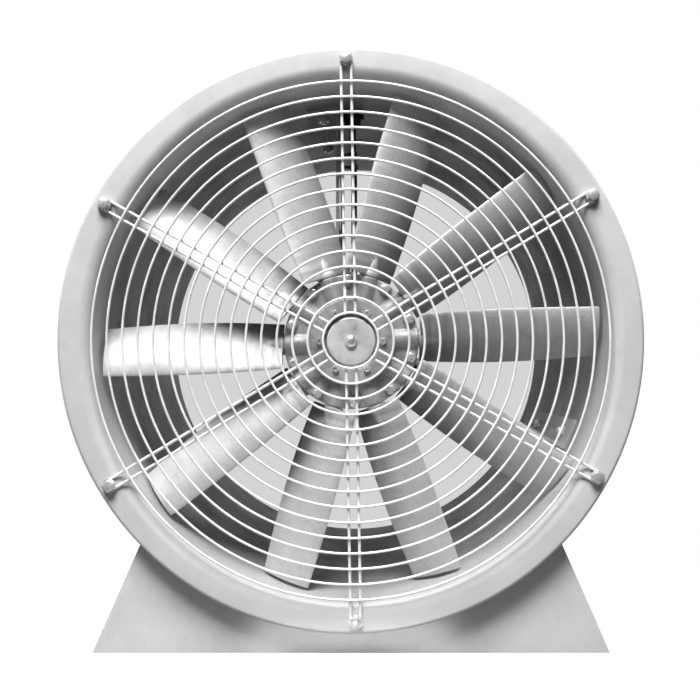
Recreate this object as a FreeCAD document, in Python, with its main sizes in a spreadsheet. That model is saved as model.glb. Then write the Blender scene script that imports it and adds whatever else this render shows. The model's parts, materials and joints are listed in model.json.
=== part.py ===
import FreeCAD, Part
import math
import os

import Sketcher
from FreeCAD import Placement, Rotation, Vector

# Cased axial-flow fan: a round duct casing on two folded feet, with a bell-mouth inlet ring and a
# flat wire guard in front, an outlet flange behind, a motor on three bolted plates in the air
# stream, and an impeller of aerofoil blades clamped by their shanks between two hub castings.
#
# Millimetres. +Z is up, +X is to the right and +Y is the way the air goes, so the inlet and its
# guard face -Y. The origin is on the floor, in the middle of the four base bolts.

SIZES = {
    # casing
    "bore": 630,  # inside diameter of the casing
    "casing_wall": 3,
    "casing_length": 500,  # face of the inlet ring to face of the outlet flange
    "floor_clearance": 25,  # below the outlet flange
    "mouth_radius": 16.5,  # bell mouth, measured on its air side
    "ring_width": 39,  # inlet ring, from the bore to its outer edge
    "ring_edge_radius": 5,  # rolled outer edge of the inlet ring
    "ring_edge_depth": 15,  # how far the rolled edge turns back
    "collar_length": 8,  # straight collar between the bell mouth and the casing
    "outlet_flange_width": 42,  # from the casing's outside to the flange's edge
    "outlet_bolt_inset": 30,  # from the bore out to the bolt circle
    "outlet_hole": 12,
    "outlet_hole_count": 12,
    # feet
    "foot_overhang": 5,  # each side of the foot beyond the bore, at the floor
    "foot_taper": 75,  # how far each side leans in
    "foot_top_flat": 10.7,  # level edge between each side and the casing
    "foot_sheet": 3,
    "foot_depth": 44,
    "foot_setback": 30,  # from each end face of the casing to its foot
    "base_hole": 14,
    "base_hole_side": 50,  # from the foot's side to the hole
    "base_hole_inset": 25,  # from the foot's outer face to the hole
    # guard
    "guard_wire": 3,
    "spoke_wire": 3.5,
    "guard_ring_count": 16,
    "guard_inner_radius": 33.2,
    "guard_edge_gap": 4.3,  # the outermost ring's middle inside the bore
    "spoke_count": 6,
    "spoke_gap": 12.2,  # between the two wires of a spoke
    "guard_bolt": 8,
    "guard_bolt_head": 13,
    "guard_washer": 17,
    "guard_turn": 1,  # the guard's bolts are drilled one degree round
    # motor
    "motor_radius": 80,
    "motor_wall": 4,
    "motor_front": -140,  # front end of the finned frame
    "motor_length": 220,
    "fin_height": 4,
    "fin_thickness": 2,
    "fin_count": 36,
    "shield_depth": 20,
    "shaft_diameter": 30,
    "drive_end_diameter": 28,
    "core_length": 100,
    "stator_bore": 96,
    "air_gap": 0.6,
    "winding_clearance": 4,  # round the end windings
    "tie_offset": 1,  # circle of the tie bolts outside the frame
    "tie_boss": 6.5,
    "tie_bolt": 6,
    # bearings
    "bearing_outer": 62,
    "bearing_width": 16,
    "bearing_pitch": 46,
    "bearing_ball": 9,
    "bearing_land": 3.2,  # half the gap between the two rings
    "ball_count": 9,
    "ball_room": 0.4,
    # support arms
    "arm_count": 3,
    "arm_offset": 19.5,  # from the fan's radius to the middle of the plate
    "arm_sheet": 4,
    "arm_front": -142,
    "arm_length": 244,
    "arm_foot_width": 38,
    "arm_bolt": 8,
    "arm_bolt_head": 13,
    "wall_bolt_inset": 40,  # from each end of an arm
    "window_inner": 80,  # from the motor to the arm's window
    "window_outer": 60,  # from the window to the casing
    "window_side": 26,  # from the window to the ends of the arm's plate
    "window_corner": 40,
    "lug_inset": 50,  # from the front of an arm to the first lug
    "lug_spacing": 100,
    "lug_width": 14,
    "lug_length": 40,
    "lug_height": 24,  # above the motor frame
    # impeller
    "blade_count": 10,
    "blade_turn": 3,  # the first blade is this far above the horizontal
    "pitch_plane": -204,  # plane of the blades' pitch axes, where the hub is split
    "blade_root": 86,
    "tip_clearance": 5,
    "root_chord": 92,
    "tip_chord": 68,
    "root_stagger": 52,  # from the plane of rotation
    "tip_stagger": 28,
    "root_thickness": 0.115,  # of the chord
    "tip_thickness": 0.085,
    "camber": 0.07,
    "pitch_axis_share": 0.42,  # where the pitch axis crosses the chord
    "shank_radius": 8.5,
    "shank_collar": 10.5,
    "collar_start": 57,
    "collar_width": 7,
    "fairing_radius": 11.5,
    "fairing_length": 24,
    "running_gap": 0.05,
    # hub
    "hub_radius": 84,
    "hub_bore": 68,
    "hub_web": 7,  # half thickness of the web
    "hub_disc_radius": 53,
    "hub_disc_height": 22,  # from the split to the face of the middle disc
    "boss_radius": 13.5,
    "boss_end": 83.5,
    "clamp_circle": 77,
    "clamp_pad": 7,
    "clamp_pad_height": 10,
    "clamp_bolt": 6,
    "clamp_head": 10,
    "bush_flange_radius": 50,
    "bush_flange": 8,
    "bush_face_depth": 12,  # bush face below the hub's face
    "bush_screw": 5,
    "bush_screw_head": 8.5,
    "bush_screw_count": 6,
    "bush_screw_circle": 39,
    "end_cap_radius": 30.5,
    "end_cap_height": 10,
    "end_bolt": 10,
    "end_bolt_head": 15,
    "key_width": 8,
    "key_height": 7,
    # cable and terminal box
    "cable": 9,
    "cable_entry": -100,  # where the cable passes through the casing
    "cable_wall_gap": 47,  # from the casing to the cable's run
    "cable_bend": 25,
    "motor_gland_place": 58,
    "gland_hex": 24,
    "gland_thread": 20,
    "box_length": 120,
    "box_width": 110,
    "box_wall": 3,
    "box_height": 36,
    "saddle_height": 10,
    "gasket": 2,
    "lid": 12,
    "lid_screw": 5,
    "supply_bore": 12,
}

doc = FreeCAD.newDocument("axial_fan")
sheet = doc.addObject("Spreadsheet::Sheet", "Sizes")
for row, (alias, number) in enumerate(SIZES.items(), start=1):
    sheet.set(f"A{row}", alias)
    sheet.set(f"B{row}", str(number))
    sheet.setAlias(f"B{row}", alias)
doc.recompute()


class Size:
    """A size taken from the sheet: its value now, and the formula that keeps it bound."""

    def __init__(self, value, formula):
        self.value = value
        self.formula = formula

    def __add__(self, other):
        other = as_size(other)
        return Size(self.value + other.value, f"({self.formula} + {other.formula})")

    def __sub__(self, other):
        other = as_size(other)
        return Size(self.value - other.value, f"({self.formula} - {other.formula})")

    def __mul__(self, other):
        other = as_size(other)
        return Size(self.value * other.value, f"({self.formula} * {other.formula})")

    def __truediv__(self, other):
        other = as_size(other)
        return Size(self.value / other.value, f"({self.formula} / {other.formula})")

    def __neg__(self):
        return Size(-self.value, f"(0 - {self.formula})")

    def __radd__(self, other):
        return as_size(other) + self

    def __rsub__(self, other):
        return as_size(other) - self

    def __rmul__(self, other):
        return as_size(other) * self


def as_size(number):
    """A plain number as a Size."""
    if isinstance(number, Size):
        return number
    return Size(float(number), f"({float(number)!r})")


def root(size):
    """Square root of a Size."""
    return Size(math.sqrt(size.value), f"sqrt({size.formula})")


def smaller(first, second):
    """Smaller of two Sizes."""
    return Size(min(first.value, second.value), f"min({first.formula}; {second.formula})")


class Sheet:
    """The sheet's cells as Sizes, by name."""

    def __getattr__(self, name):
        return Size(float(sheet.get(name)), f"Sizes.{name}")


S = Sheet()

UPRIGHT = Rotation()
ALONG_X = Rotation(Vector(0, 1, 0), 90)
ALONG_Y = Rotation(Vector(1, 0, 0), -90)


# ---------------------------------------------------------------------------------------------
# Building blocks. Pieces round the fan axis are drawn in the fan's own frame, with the axis along
# Y through the origin, and a finished piece is lifted to the axis height.


def bind(piece, **sizes):
    """Set a feature's sizes and tie them to the sheet."""
    for name, number in sizes.items():
        size = as_size(number)
        setattr(piece, name, size.value)
        piece.setExpression(name, size.formula)
    return piece


def place(piece, x=0, y=0, z=0, rotation=UPRIGHT):
    """Put a piece at x, y, z, tied to the sheet."""
    where = [as_size(number) for number in (x, y, z)]
    piece.Placement = Placement(Vector(*[size.value for size in where]), rotation)
    for letter, size in zip("xyz", where):
        piece.setExpression(f"Placement.Base.{letter}", size.formula)
    return piece


def lift(piece):
    """Raise a piece from the fan's frame to the fan axis above the floor."""
    return place(piece, z=axis_height)


def round_the_axis(piece, degrees):
    """Turn a piece about the fan axis, anticlockwise seen from the inlet."""
    piece.Placement = Placement(Vector(), Rotation(Vector(0, -1, 0), degrees))
    return piece


def rod_y(name, radius, start, end, x=0, z=0):
    """Cylinder along Y."""
    rod = doc.addObject("Part::Cylinder", name)
    bind(rod, Radius=radius, Height=as_size(end) - start)
    return place(rod, x, start, z, ALONG_Y)


def rod_x(name, radius, start, end, y=0, z=0):
    """Cylinder along X."""
    rod = doc.addObject("Part::Cylinder", name)
    bind(rod, Radius=radius, Height=as_size(end) - start)
    return place(rod, start, y, z, ALONG_X)


def rod_z(name, radius, start, end, x=0, y=0):
    """Cylinder along Z."""
    rod = doc.addObject("Part::Cylinder", name)
    bind(rod, Radius=radius, Height=as_size(end) - start)
    return place(rod, x, y, start)


def hexagon(name, flats, thickness, x=0, y=0, z=0, rotation=UPRIGHT):
    """Hexagonal prism, given its width across flats."""
    prism = doc.addObject("Part::Prism", name)
    prism.Polygon = 6
    bind(prism, Circumradius=flats / root(as_size(3)), Height=thickness)
    return place(prism, x, y, z, rotation)


def block(name, x, y, z):
    """Box between the pairs x, y and z."""
    box = doc.addObject("Part::Box", name)
    pairs = [(as_size(low), as_size(high)) for low, high in (x, y, z)]
    spans = [high - low for low, high in pairs]
    bind(box, Length=spans[0], Width=spans[1], Height=spans[2])
    return place(box, *[low for low, high in pairs])


def torus(name, ring, wire, x=0, y=0, z=0, rotation=UPRIGHT, sweep=360):
    """Ring of round wire, or the part of it that sweep gives."""
    piece = doc.addObject("Part::Torus", name)
    bind(piece, Radius1=ring, Radius2=wire)
    piece.Angle3 = sweep
    return place(piece, x, y, z, rotation)


def fuse(name, pieces):
    whole = doc.addObject("Part::MultiFuse", name)
    whole.Shapes = pieces
    return whole


def cut(name, base, tool):
    left = doc.addObject("Part::Cut", name)
    left.Base = base
    left.Tool = tool
    return left


def common(name, first, second):
    both = doc.addObject("Part::MultiCommon", name)
    both.Shapes = [first, second]
    return both


def group(name, pieces):
    """Separate solids kept together as one piece list."""
    together = doc.addObject("Part::Compound", name)
    together.Links = pieces
    return together


def ring_of(name, piece, angles):
    """Copies of a piece round the fan axis."""
    copies = []
    for number, degrees in enumerate(angles, start=1):
        copy = group(f"{name}_at_{number}", [piece])
        copies.append(round_the_axis(copy, degrees))
    return group(name, copies)


def steps(count, first=0):
    """Angles of evenly spaced places round the axis."""
    number = int(count.value)
    return [first + 360 / number * index for index in range(number)]


class Arc:
    """Quarter-turn stretch of an outline: its centre, radius, and first and last direction."""

    def __init__(self, x, y, radius, first, last):
        self.x = as_size(x)
        self.y = as_size(y)
        self.radius = as_size(radius)
        self.first = first
        self.last = last

    def end(self, degrees):
        angle = math.radians(degrees)
        x = self.x.value + self.radius.value * math.cos(angle)
        y = self.y.value + self.radius.value * math.sin(angle)
        return Vector(x, y, 0)


def sketch_on(body, name, role, outline):
    """Closed outline of corners, (x, y), and Arcs, on one of the body's origin planes."""
    plane = [item for item in body.Origin.OriginFeatures if item.Role == role][0]
    sketch = body.newObject("Sketcher::SketchObject", name)
    sketch.AttachmentSupport = (plane, [""])
    sketch.MapMode = "FlatFace"

    def tie(kind, geometry, position, size, centre=None):
        if size.value == 0 and kind in ("DistanceX", "DistanceY"):
            axis = -2 if kind == "DistanceX" else -1
            sketch.addConstraint(Sketcher.Constraint("PointOnObject", geometry, position, axis))
            return
        if kind == "Radius":
            constraint = Sketcher.Constraint(kind, geometry, size.value)
        else:
            constraint = Sketcher.Constraint(kind, -1, 1, geometry, position, size.value)
        index = sketch.addConstraint(constraint)
        sketch.setExpression(f"Constraints[{index}]", size.formula)

    starts = []
    for item in outline:
        if isinstance(item, Arc):
            starts.append((item.end(item.first), item.end(item.last)))
        else:
            corner = Vector(as_size(item[0]).value, as_size(item[1]).value, 0)
            starts.append((corner, corner))
    arcs = {}
    for index, item in enumerate(outline):
        if not isinstance(item, Arc):
            continue
        circle = Part.Circle(Vector(item.x.value, item.y.value, 0), Vector(0, 0, 1), item.radius.value)
        low, high = sorted((item.first, item.last))
        curve = Part.ArcOfCircle(circle, math.radians(low), math.radians(high))
        geometry = sketch.addGeometry(curve, False)
        forward = item.last > item.first
        arcs[index] = (geometry, 1 if forward else 2, 2 if forward else 1)
        tie("DistanceX", geometry, 3, item.x)
        tie("DistanceY", geometry, 3, item.y)
        tie("Radius", geometry, 0, item.radius)
        for degrees, position in ((item.first, arcs[index][1]), (item.last, arcs[index][2])):
            if degrees % 180 == 0:
                tie("DistanceY", geometry, position, item.y)
            else:
                tie("DistanceX", geometry, position, item.x)
    lines = []
    for index in range(len(outline)):
        after = (index + 1) % len(outline)
        line = Part.LineSegment(starts[index][1], starts[after][0])
        lines.append(sketch.addGeometry(line, False))
    for index, item in enumerate(outline):
        before = lines[index - 1]
        if index in arcs:
            geometry, first, last = arcs[index]
            sketch.addConstraint(Sketcher.Constraint("Coincident", before, 2, geometry, first))
            sketch.addConstraint(Sketcher.Constraint("Coincident", geometry, last, lines[index], 1))
        else:
            sketch.addConstraint(Sketcher.Constraint("Coincident", before, 2, lines[index], 1))
            tie("DistanceX", lines[index], 1, as_size(item[0]))
            tie("DistanceY", lines[index], 1, as_size(item[1]))
    return sketch


def turned(name, outline):
    """Body turned about the fan axis from an outline of (radius, y)."""
    body = doc.addObject("PartDesign::Body", name)
    sketch = sketch_on(body, f"{name}_profile", "XY_Plane", outline)
    revolution = body.newObject("PartDesign::Revolution", f"{name}_turn")
    revolution.Profile = sketch
    revolution.ReferenceAxis = (sketch, ["V_Axis"])
    revolution.Angle = 360
    return body


def slab(name, outline, y, thickness):
    """Body cut from plate: an outline of (x, z), with its front face at y."""
    body = doc.addObject("PartDesign::Body", name)
    sketch = sketch_on(body, f"{name}_profile", "XZ_Plane", outline)
    pad = body.newObject("PartDesign::Pad", f"{name}_pad")
    pad.Profile = sketch
    pad.Reversed = True
    bind(pad, Length=thickness)
    return place(body, y=y)


def rectangle(x, y):
    """Outline of a rectangle between the pairs x and y."""
    return [(x[0], y[0]), (x[1], y[0]), (x[1], y[1]), (x[0], y[1])]


def fastener(name, bolt, head_flats, grip, extra=2, head=None):
    """Hexagon-headed bolt along Y: the head's seat is at y = 0 and the shank points to +Y."""
    thickness = bolt * 0.65 if head is None else head
    shank = rod_y(f"{name}_shank", bolt / 2, 0, grip + bolt * 0.8 + extra)
    top = hexagon(f"{name}_head", head_flats, thickness, y=-thickness, rotation=ALONG_Y)
    return fuse(name, [shank, top])


def nut(name, bolt, flats):
    """Hexagon nut along Y with its seat at y = 0, and its body towards +Y."""
    body = hexagon(f"{name}_body", flats, bolt * 0.8, rotation=ALONG_Y)
    hole = rod_y(f"{name}_hole", bolt / 2, -1, bolt + 1)
    return cut(name, body, hole)


# ---------------------------------------------------------------------------------------------
# Casing

radius = S.bore / 2
casing_radius = radius + S.casing_wall
front = -S.casing_length / 2
back = S.casing_length / 2
flat_radius = radius + S.mouth_radius
ring_radius = radius + S.ring_width
shell_front = front + S.mouth_radius + S.collar_length
guard_circle = flat_radius + S.guard_bolt_head / 2
guard_pitch = (radius - S.guard_edge_gap - S.guard_inner_radius) / (S.guard_ring_count - 1)
outlet_circle = radius + S.outlet_bolt_inset
axis_height = casing_radius + S.outlet_flange_width + S.floor_clearance
arm_angles = steps(S.arm_count)
tab_middle = S.arm_offset + S.arm_sheet / 2 + S.arm_foot_width / 2
tab_angle = math.degrees(math.asin(tab_middle.value / radius.value))
lug_start = S.arm_front + S.lug_inset
lug_places = [lug_start, lug_start + S.lug_spacing]
wall_bolt_places = [S.arm_front + S.wall_bolt_inset, S.arm_front + S.arm_length - S.wall_bolt_inset]


def inlet_ring():
    """Spun bell mouth: collar, quarter-round mouth, flat ring and rolled-back edge."""
    wall = S.casing_wall
    edge = S.ring_edge_radius
    ring = turned("inlet_ring_blank", [
        (radius, shell_front),
        Arc(flat_radius, front + S.mouth_radius, S.mouth_radius, 180, 270),
        Arc(ring_radius - edge, front + edge, edge, -90, 0),
        (ring_radius, front + S.ring_edge_depth),
        (ring_radius - wall, front + S.ring_edge_depth),
        Arc(ring_radius - edge, front + edge, edge - wall, 0, -90),
        Arc(flat_radius, front + S.mouth_radius, S.mouth_radius - wall, 270, 180),
        (casing_radius, shell_front),
    ])
    hole = rod_y("guard_hole", S.guard_bolt / 2 + 0.5, front - 5, front + 10, z=guard_circle)
    turns = steps(S.spoke_count, S.guard_turn.value)
    lift(cut("inlet_ring", ring, ring_of("guard_holes", hole, turns)))


def casing_shell():
    tube = turned("casing_tube", rectangle((radius, casing_radius), (shell_front, back)))
    holes = []
    for number, place_y in enumerate(wall_bolt_places, start=1):
        hole = rod_z(f"wall_hole_{number}", S.arm_bolt / 2 + 0.5, radius - 10, radius + 15, y=place_y)
        turns = [angle + tab_angle for angle in arm_angles]
        holes.append(ring_of(f"wall_holes_{number}", hole, turns))
    entry = rod_z("cable_hole", S.gland_thread / 2 + 0.3, radius - 10, radius + 15, y=S.cable_entry)
    lift(cut("casing_shell", tube, group("casing_holes", holes + [entry])))


def outlet_flange():
    disc = turned("outlet_disc", rectangle(
        (casing_radius, casing_radius + S.outlet_flange_width), (back - S.casing_wall, back)))
    hole = rod_y("outlet_bolt_hole", S.outlet_hole / 2, back - 10, back + 5, z=outlet_circle)
    turns = steps(S.outlet_hole_count, 15)
    lift(cut("outlet_flange", disc, ring_of("outlet_holes", hole, turns)))


def foot(name, side):
    """Folded sheet foot: a trapezoid face with its sides and base turned in under the casing."""
    sheet_thickness = S.foot_sheet
    low = radius + S.foot_overhang
    high = low - S.foot_taper
    meeting = high - S.foot_top_flat
    top = axis_height - root(casing_radius * casing_radius - meeting * meeting)
    face = S.casing_length / 2 - S.foot_setback
    start = -face if side < 0 else face - S.foot_depth
    inner_start = start + sheet_thickness if side < 0 else start - 1
    corners_outside = [(-low, 0), (low, 0), (high, top), (-high, top)]
    outside = slab(f"{name}_outside", corners_outside, start, S.foot_depth)
    lean = S.foot_taper / top
    slope = sheet_thickness * root(1 + lean * lean)
    inside = slab(f"{name}_inside", [
        (slope - low, sheet_thickness), (low - slope, sheet_thickness),
        (high - slope, top + 1), (slope - high, top + 1)],
        inner_start, S.foot_depth - sheet_thickness + 1)
    tube = rod_y(f"{name}_saddle", casing_radius, start - 5, start + S.foot_depth + 5, z=axis_height)
    middle = side * (face - S.base_hole_inset)
    tools = [inside, tube]
    for number, across in enumerate((-1, 1), start=1):
        tools.append(rod_z(f"{name}_hole_{number}", S.base_hole / 2, -1, sheet_thickness + 5,
                           x=across * (low - S.base_hole_side), y=middle))
    cut(name, outside, group(f"{name}_cuts", tools))


# ---------------------------------------------------------------------------------------------
# Guard: hairpin spokes lie on the ring, the rings lie in front of them

spoke_plane = front - S.spoke_wire / 2
ring_plane = front - S.spoke_wire - S.guard_wire / 2
seat = front - S.spoke_wire


def guard_rings():
    rings = []
    for number in range(int(S.guard_ring_count.value)):
        ring = torus(f"guard_ring_{number + 1}", S.guard_inner_radius + guard_pitch * number,
                     S.guard_wire / 2, y=ring_plane, rotation=ALONG_Y)
        rings.append(ring)
    lift(group("guard_rings", rings))


def guard_spokes():
    wire = S.spoke_wire / 2
    legs = []
    for number, side in enumerate((-1, 1), start=1):
        leg = rod_z(f"spoke_leg_{number}", wire, S.guard_inner_radius - S.guard_wire / 2,
                    guard_circle, x=side * S.spoke_gap / 2, y=spoke_plane)
        legs.append(leg)
    loop = torus("spoke_loop", S.spoke_gap / 2, wire, y=spoke_plane, z=guard_circle,
                 rotation=Rotation(Vector(1, 0, 0), 90), sweep=180)
    hairpin = fuse("guard_hairpin", legs + [loop])
    lift(ring_of("guard_spokes", hairpin, steps(S.spoke_count, S.guard_turn.value)))


def guard_fasteners():
    washer = S.guard_bolt * 0.2
    turns = steps(S.spoke_count, S.guard_turn.value)
    disc = rod_y("washer_disc", S.guard_washer / 2, seat - washer, seat, z=guard_circle)
    hole = rod_y("washer_hole", S.guard_bolt / 2 + 0.2, seat - washer - 1, seat + 1, z=guard_circle)
    lift(ring_of("guard_washers", cut("guard_washer_one", disc, hole), turns))
    grip = washer + S.spoke_wire + S.casing_wall
    bolt = fastener("guard_bolt_form", S.guard_bolt, S.guard_bolt_head, grip)
    bolt_at = place(group("guard_bolt_one", [bolt]), y=seat - washer, z=guard_circle)
    lift(ring_of("guard_bolts", bolt_at, turns))
    nut_form = nut("guard_nut_form", S.guard_bolt, S.guard_bolt_head)
    nut_at = place(group("guard_nut_one", [nut_form]), y=front + S.casing_wall, z=guard_circle)
    lift(ring_of("guard_nuts", nut_at, turns))


# ---------------------------------------------------------------------------------------------
# Motor in the air stream

motor_back = S.motor_front + S.motor_length
frame_bore = S.motor_radius - S.motor_wall
shaft_radius = S.shaft_diameter / 2
core_middle = S.motor_front + S.motor_length / 2
core_front = core_middle - S.core_length / 2
core_back = core_middle + S.core_length / 2
bearing_front = S.motor_front - S.shield_depth + 6
bearing_back = motor_back + S.shield_depth - 6 - S.bearing_width
lug_face = S.arm_offset - S.arm_sheet / 2
tie_turns = steps(as_size(4), 45)
tie_circle = S.motor_radius + S.tie_offset


def motor_frame():
    """Finned tube with four tie-bolt bosses and six lugs for the support arms."""
    tube = turned("frame_tube", rectangle((frame_bore, S.motor_radius), (S.motor_front, motor_back)))
    fin_root = S.motor_radius - 1
    fin = block("frame_fin", (-S.fin_thickness / 2, S.fin_thickness / 2),
                (S.motor_front + 8, motor_back - 8), (fin_root, S.motor_radius + S.fin_height))
    boss = rod_y("frame_boss", S.tie_boss, S.motor_front, motor_back, z=tie_circle)
    lugs = []
    for number, middle in enumerate(lug_places, start=1):
        lug = block(f"frame_lug_{number}", (-lug_face, S.lug_width - lug_face),
                    (middle - S.lug_length / 2, middle + S.lug_length / 2),
                    (fin_root, S.motor_radius + S.lug_height))
        lugs.append(ring_of(f"frame_lugs_{number}", lug, arm_angles))
    pad = rod_z("gland_pad", S.gland_hex / 2 + 2, fin_root, S.motor_radius + S.fin_height + 2,
                y=S.motor_gland_place)
    fins = ring_of("frame_fins", fin, steps(S.fin_count, 5))
    bosses = ring_of("frame_bosses", boss, tie_turns)
    solid = fuse("frame_solid", [tube, fins, bosses, pad] + lugs)
    bolt_room = S.arm_bolt / 2 + 0.5
    holes = [rod_y("frame_bore", frame_bore, S.motor_front - 1, motor_back + 1)]
    tie = rod_y("frame_tie_hole", S.tie_bolt / 2 + 0.3, S.motor_front - 1, motor_back + 1, z=tie_circle)
    holes.append(ring_of("frame_tie_holes", tie, tie_turns))
    holes.append(rod_z("frame_gland_hole", S.gland_thread / 2, frame_bore - 5,
                       S.motor_radius + S.fin_height + 5, y=S.motor_gland_place))
    for number, middle in enumerate(lug_places, start=1):
        hole = rod_x(f"lug_hole_{number}", bolt_room, -lug_face - 5, S.lug_width - lug_face + 5,
                     y=middle, z=S.motor_radius + S.lug_height / 2)
        holes.append(ring_of(f"lug_holes_{number}", hole, arm_angles))
    lift(cut("motor_frame", solid, group("frame_holes", holes)))


def shield(name, side, face):
    """Cast end shield: domed cover with a bearing seat, a spigot and four tie-bolt ears."""
    out = S.shield_depth * side
    seat_depth = S.bearing_width * side
    seat_front = face + out - 6 * side
    outline = [
        (shaft_radius + 0.5, face + out),
        (S.bearing_outer / 2 + 8, face + out),
        (S.motor_radius - 6, face + 11 * side),
        (S.motor_radius + 2, face + 6 * side),
        (S.motor_radius + 2, face),
        (frame_bore, face),
        (frame_bore, face - 6 * side),
        (frame_bore - 4, face - 6 * side),
        (frame_bore - 8, face + 5 * side),
        (S.bearing_outer / 2 + 5, face + 8 * side),
        (S.bearing_outer / 2 + 5, seat_front - seat_depth),
        (S.bearing_outer / 2, seat_front - seat_depth),
        (S.bearing_outer / 2, seat_front),
        (shaft_radius + 0.5, seat_front),
    ]
    cover = turned(f"{name}_cover", outline)
    low, high = (face, face + 7 * side) if side > 0 else (face + 7 * side, face)
    ear = rod_y(f"{name}_ear", S.tie_boss, low, high, z=tie_circle)
    ears = fuse(f"{name}_solid", [cover, ring_of(f"{name}_ears", ear, tie_turns)])
    hole = rod_y(f"{name}_tie_hole", S.tie_bolt / 2 + 0.3, low - 20, high + 20, z=tie_circle)
    low, high = (high, high + S.shield_depth) if side > 0 else (low - S.shield_depth, low)
    spot_face = rod_y(f"{name}_spot_face", S.tie_boss, low, high, z=tie_circle)
    tools = [ring_of(f"{name}_tie_holes", hole, tie_turns),
             ring_of(f"{name}_spot_faces", spot_face, tie_turns)]
    lift(cut(name, ears, group(f"{name}_cuts", tools)))


def tie_bolts():
    length = S.motor_length + 14
    head = S.tie_bolt * 0.6
    start = S.motor_front - 7
    shank = rod_y("tie_shank", S.tie_bolt / 2, start, start + length + 2, z=tie_circle)
    top = hexagon("tie_head", S.tie_bolt * 1.6, head, y=start - head, z=tie_circle, rotation=ALONG_Y)
    end = hexagon("tie_nut", S.tie_bolt * 1.6, head, y=start + length, z=tie_circle, rotation=ALONG_Y)
    lift(ring_of("motor_tie_bolts", fuse("tie_bolt_one", [shank, top, end]), tie_turns))


def stator():
    bore_radius = S.stator_bore / 2
    core = turned("stator_core", rectangle((bore_radius, frame_bore), (core_front, core_back)))
    lift(core)
    middle = (bore_radius + frame_bore) / 2
    winding = (frame_bore - bore_radius) / 2 - S.winding_clearance
    turns = []
    for number, where in enumerate((core_front - winding, core_back + winding), start=1):
        turns.append(torus(f"end_winding_{number}", middle, winding, y=where, rotation=ALONG_Y))
    lift(group("stator_windings", turns))


def bearings():
    """Two ball bearings: outer rings and balls stay, inner rings turn with the shaft."""
    pitch = S.bearing_pitch / 2
    groove = S.bearing_ball / 2 + S.ball_room
    outers = []
    inners = []
    balls = []
    for number, start in enumerate((bearing_front, bearing_back), start=1):
        end = start + S.bearing_width
        middle = start + S.bearing_width / 2
        outer = turned(f"outer_ring_blank_{number}", rectangle(
            (pitch + S.bearing_land, S.bearing_outer / 2), (start, end)))
        inner = turned(f"inner_ring_blank_{number}", rectangle(
            (shaft_radius, pitch - S.bearing_land), (start, end)))
        track = torus(f"track_{number}", pitch, groove, y=middle, rotation=ALONG_Y)
        outers.append(cut(f"outer_ring_{number}", outer, track))
        inners.append(cut(f"inner_ring_{number}", inner, track))
        ball = doc.addObject("Part::Sphere", f"ball_{number}")
        bind(ball, Radius=S.bearing_ball / 2)
        place(ball, y=middle, z=pitch)
        balls.append(ring_of(f"balls_{number}", ball, steps(S.ball_count)))
    lift(group("bearing_outer_rings", outers))
    lift(group("bearing_inner_rings", inners))
    lift(group("bearing_balls", balls))


# ---------------------------------------------------------------------------------------------
# Support arms: one plate beside each of three radii, with a foot bent along the casing wall

ARM_NAMES = ["support_arm_top", "support_arm_left", "support_arm_right"]


def support_arms():
    sheet_thickness = S.arm_sheet
    inside = -S.arm_offset + sheet_thickness / 2
    outside = -S.arm_offset - sheet_thickness / 2
    end = S.arm_front + S.arm_length
    reach = root(radius * radius - outside * outside)
    plate = block("arm_plate", (outside, inside), (S.arm_front, end),
                  (S.motor_radius + S.fin_height + 1, reach - 1))
    band = turned("arm_band", rectangle((radius - sheet_thickness, radius), (S.arm_front, end)))
    strip = block("arm_strip", (outside - S.arm_foot_width, inside), (S.arm_front - 1, end + 1),
                  (radius / 2, radius + 5))
    blank = fuse("arm_blank", [plate, common("arm_tab", band, strip)])
    room = S.arm_bolt / 2 + 0.5
    holes = []
    for number, middle in enumerate(lug_places, start=1):
        holes.append(rod_x(f"arm_lug_hole_{number}", room, outside - 5, inside + 5, y=middle,
                           z=S.motor_radius + S.lug_height / 2))
    for number, middle in enumerate(wall_bolt_places, start=1):
        hole = rod_z(f"arm_wall_hole_{number}", room, radius - 20, radius + 5, y=middle)
        holes.append(round_the_axis(group(f"arm_wall_hole_at_{number}", [hole]), tab_angle))
    window = slab_window("arm_window", outside, inside)
    arm = cut("arm_form", blank, group("arm_cuts", holes + [window]))
    for name, degrees in zip(ARM_NAMES, arm_angles):
        lift(group(name, [round_the_axis(group(f"{name}_turned", [arm]), degrees)]))


def slab_window(name, outside, inside):
    """Lightening window in the plate, with round corners."""
    low = S.motor_radius + S.window_inner
    high = radius - S.window_outer
    start = S.arm_front + S.window_side
    end = S.arm_front + S.arm_length - S.window_side
    corner = smaller(S.window_corner, (high - low) * 0.45)
    span = (outside - 5, inside + 5)
    pieces = [
        block(f"{name}_long", span, (start, end), (low + corner, high - corner)),
        block(f"{name}_high", span, (start + corner, end - corner), (low, high)),
    ]
    corners = [(place_y, place_z) for place_y in (start + corner, end - corner)
               for place_z in (low + corner, high - corner)]
    for number, (place_y, place_z) in enumerate(corners, start=1):
        pieces.append(rod_x(f"{name}_corner_{number}", corner, span[0], span[1], y=place_y, z=place_z))
    return fuse(name, pieces)


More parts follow.
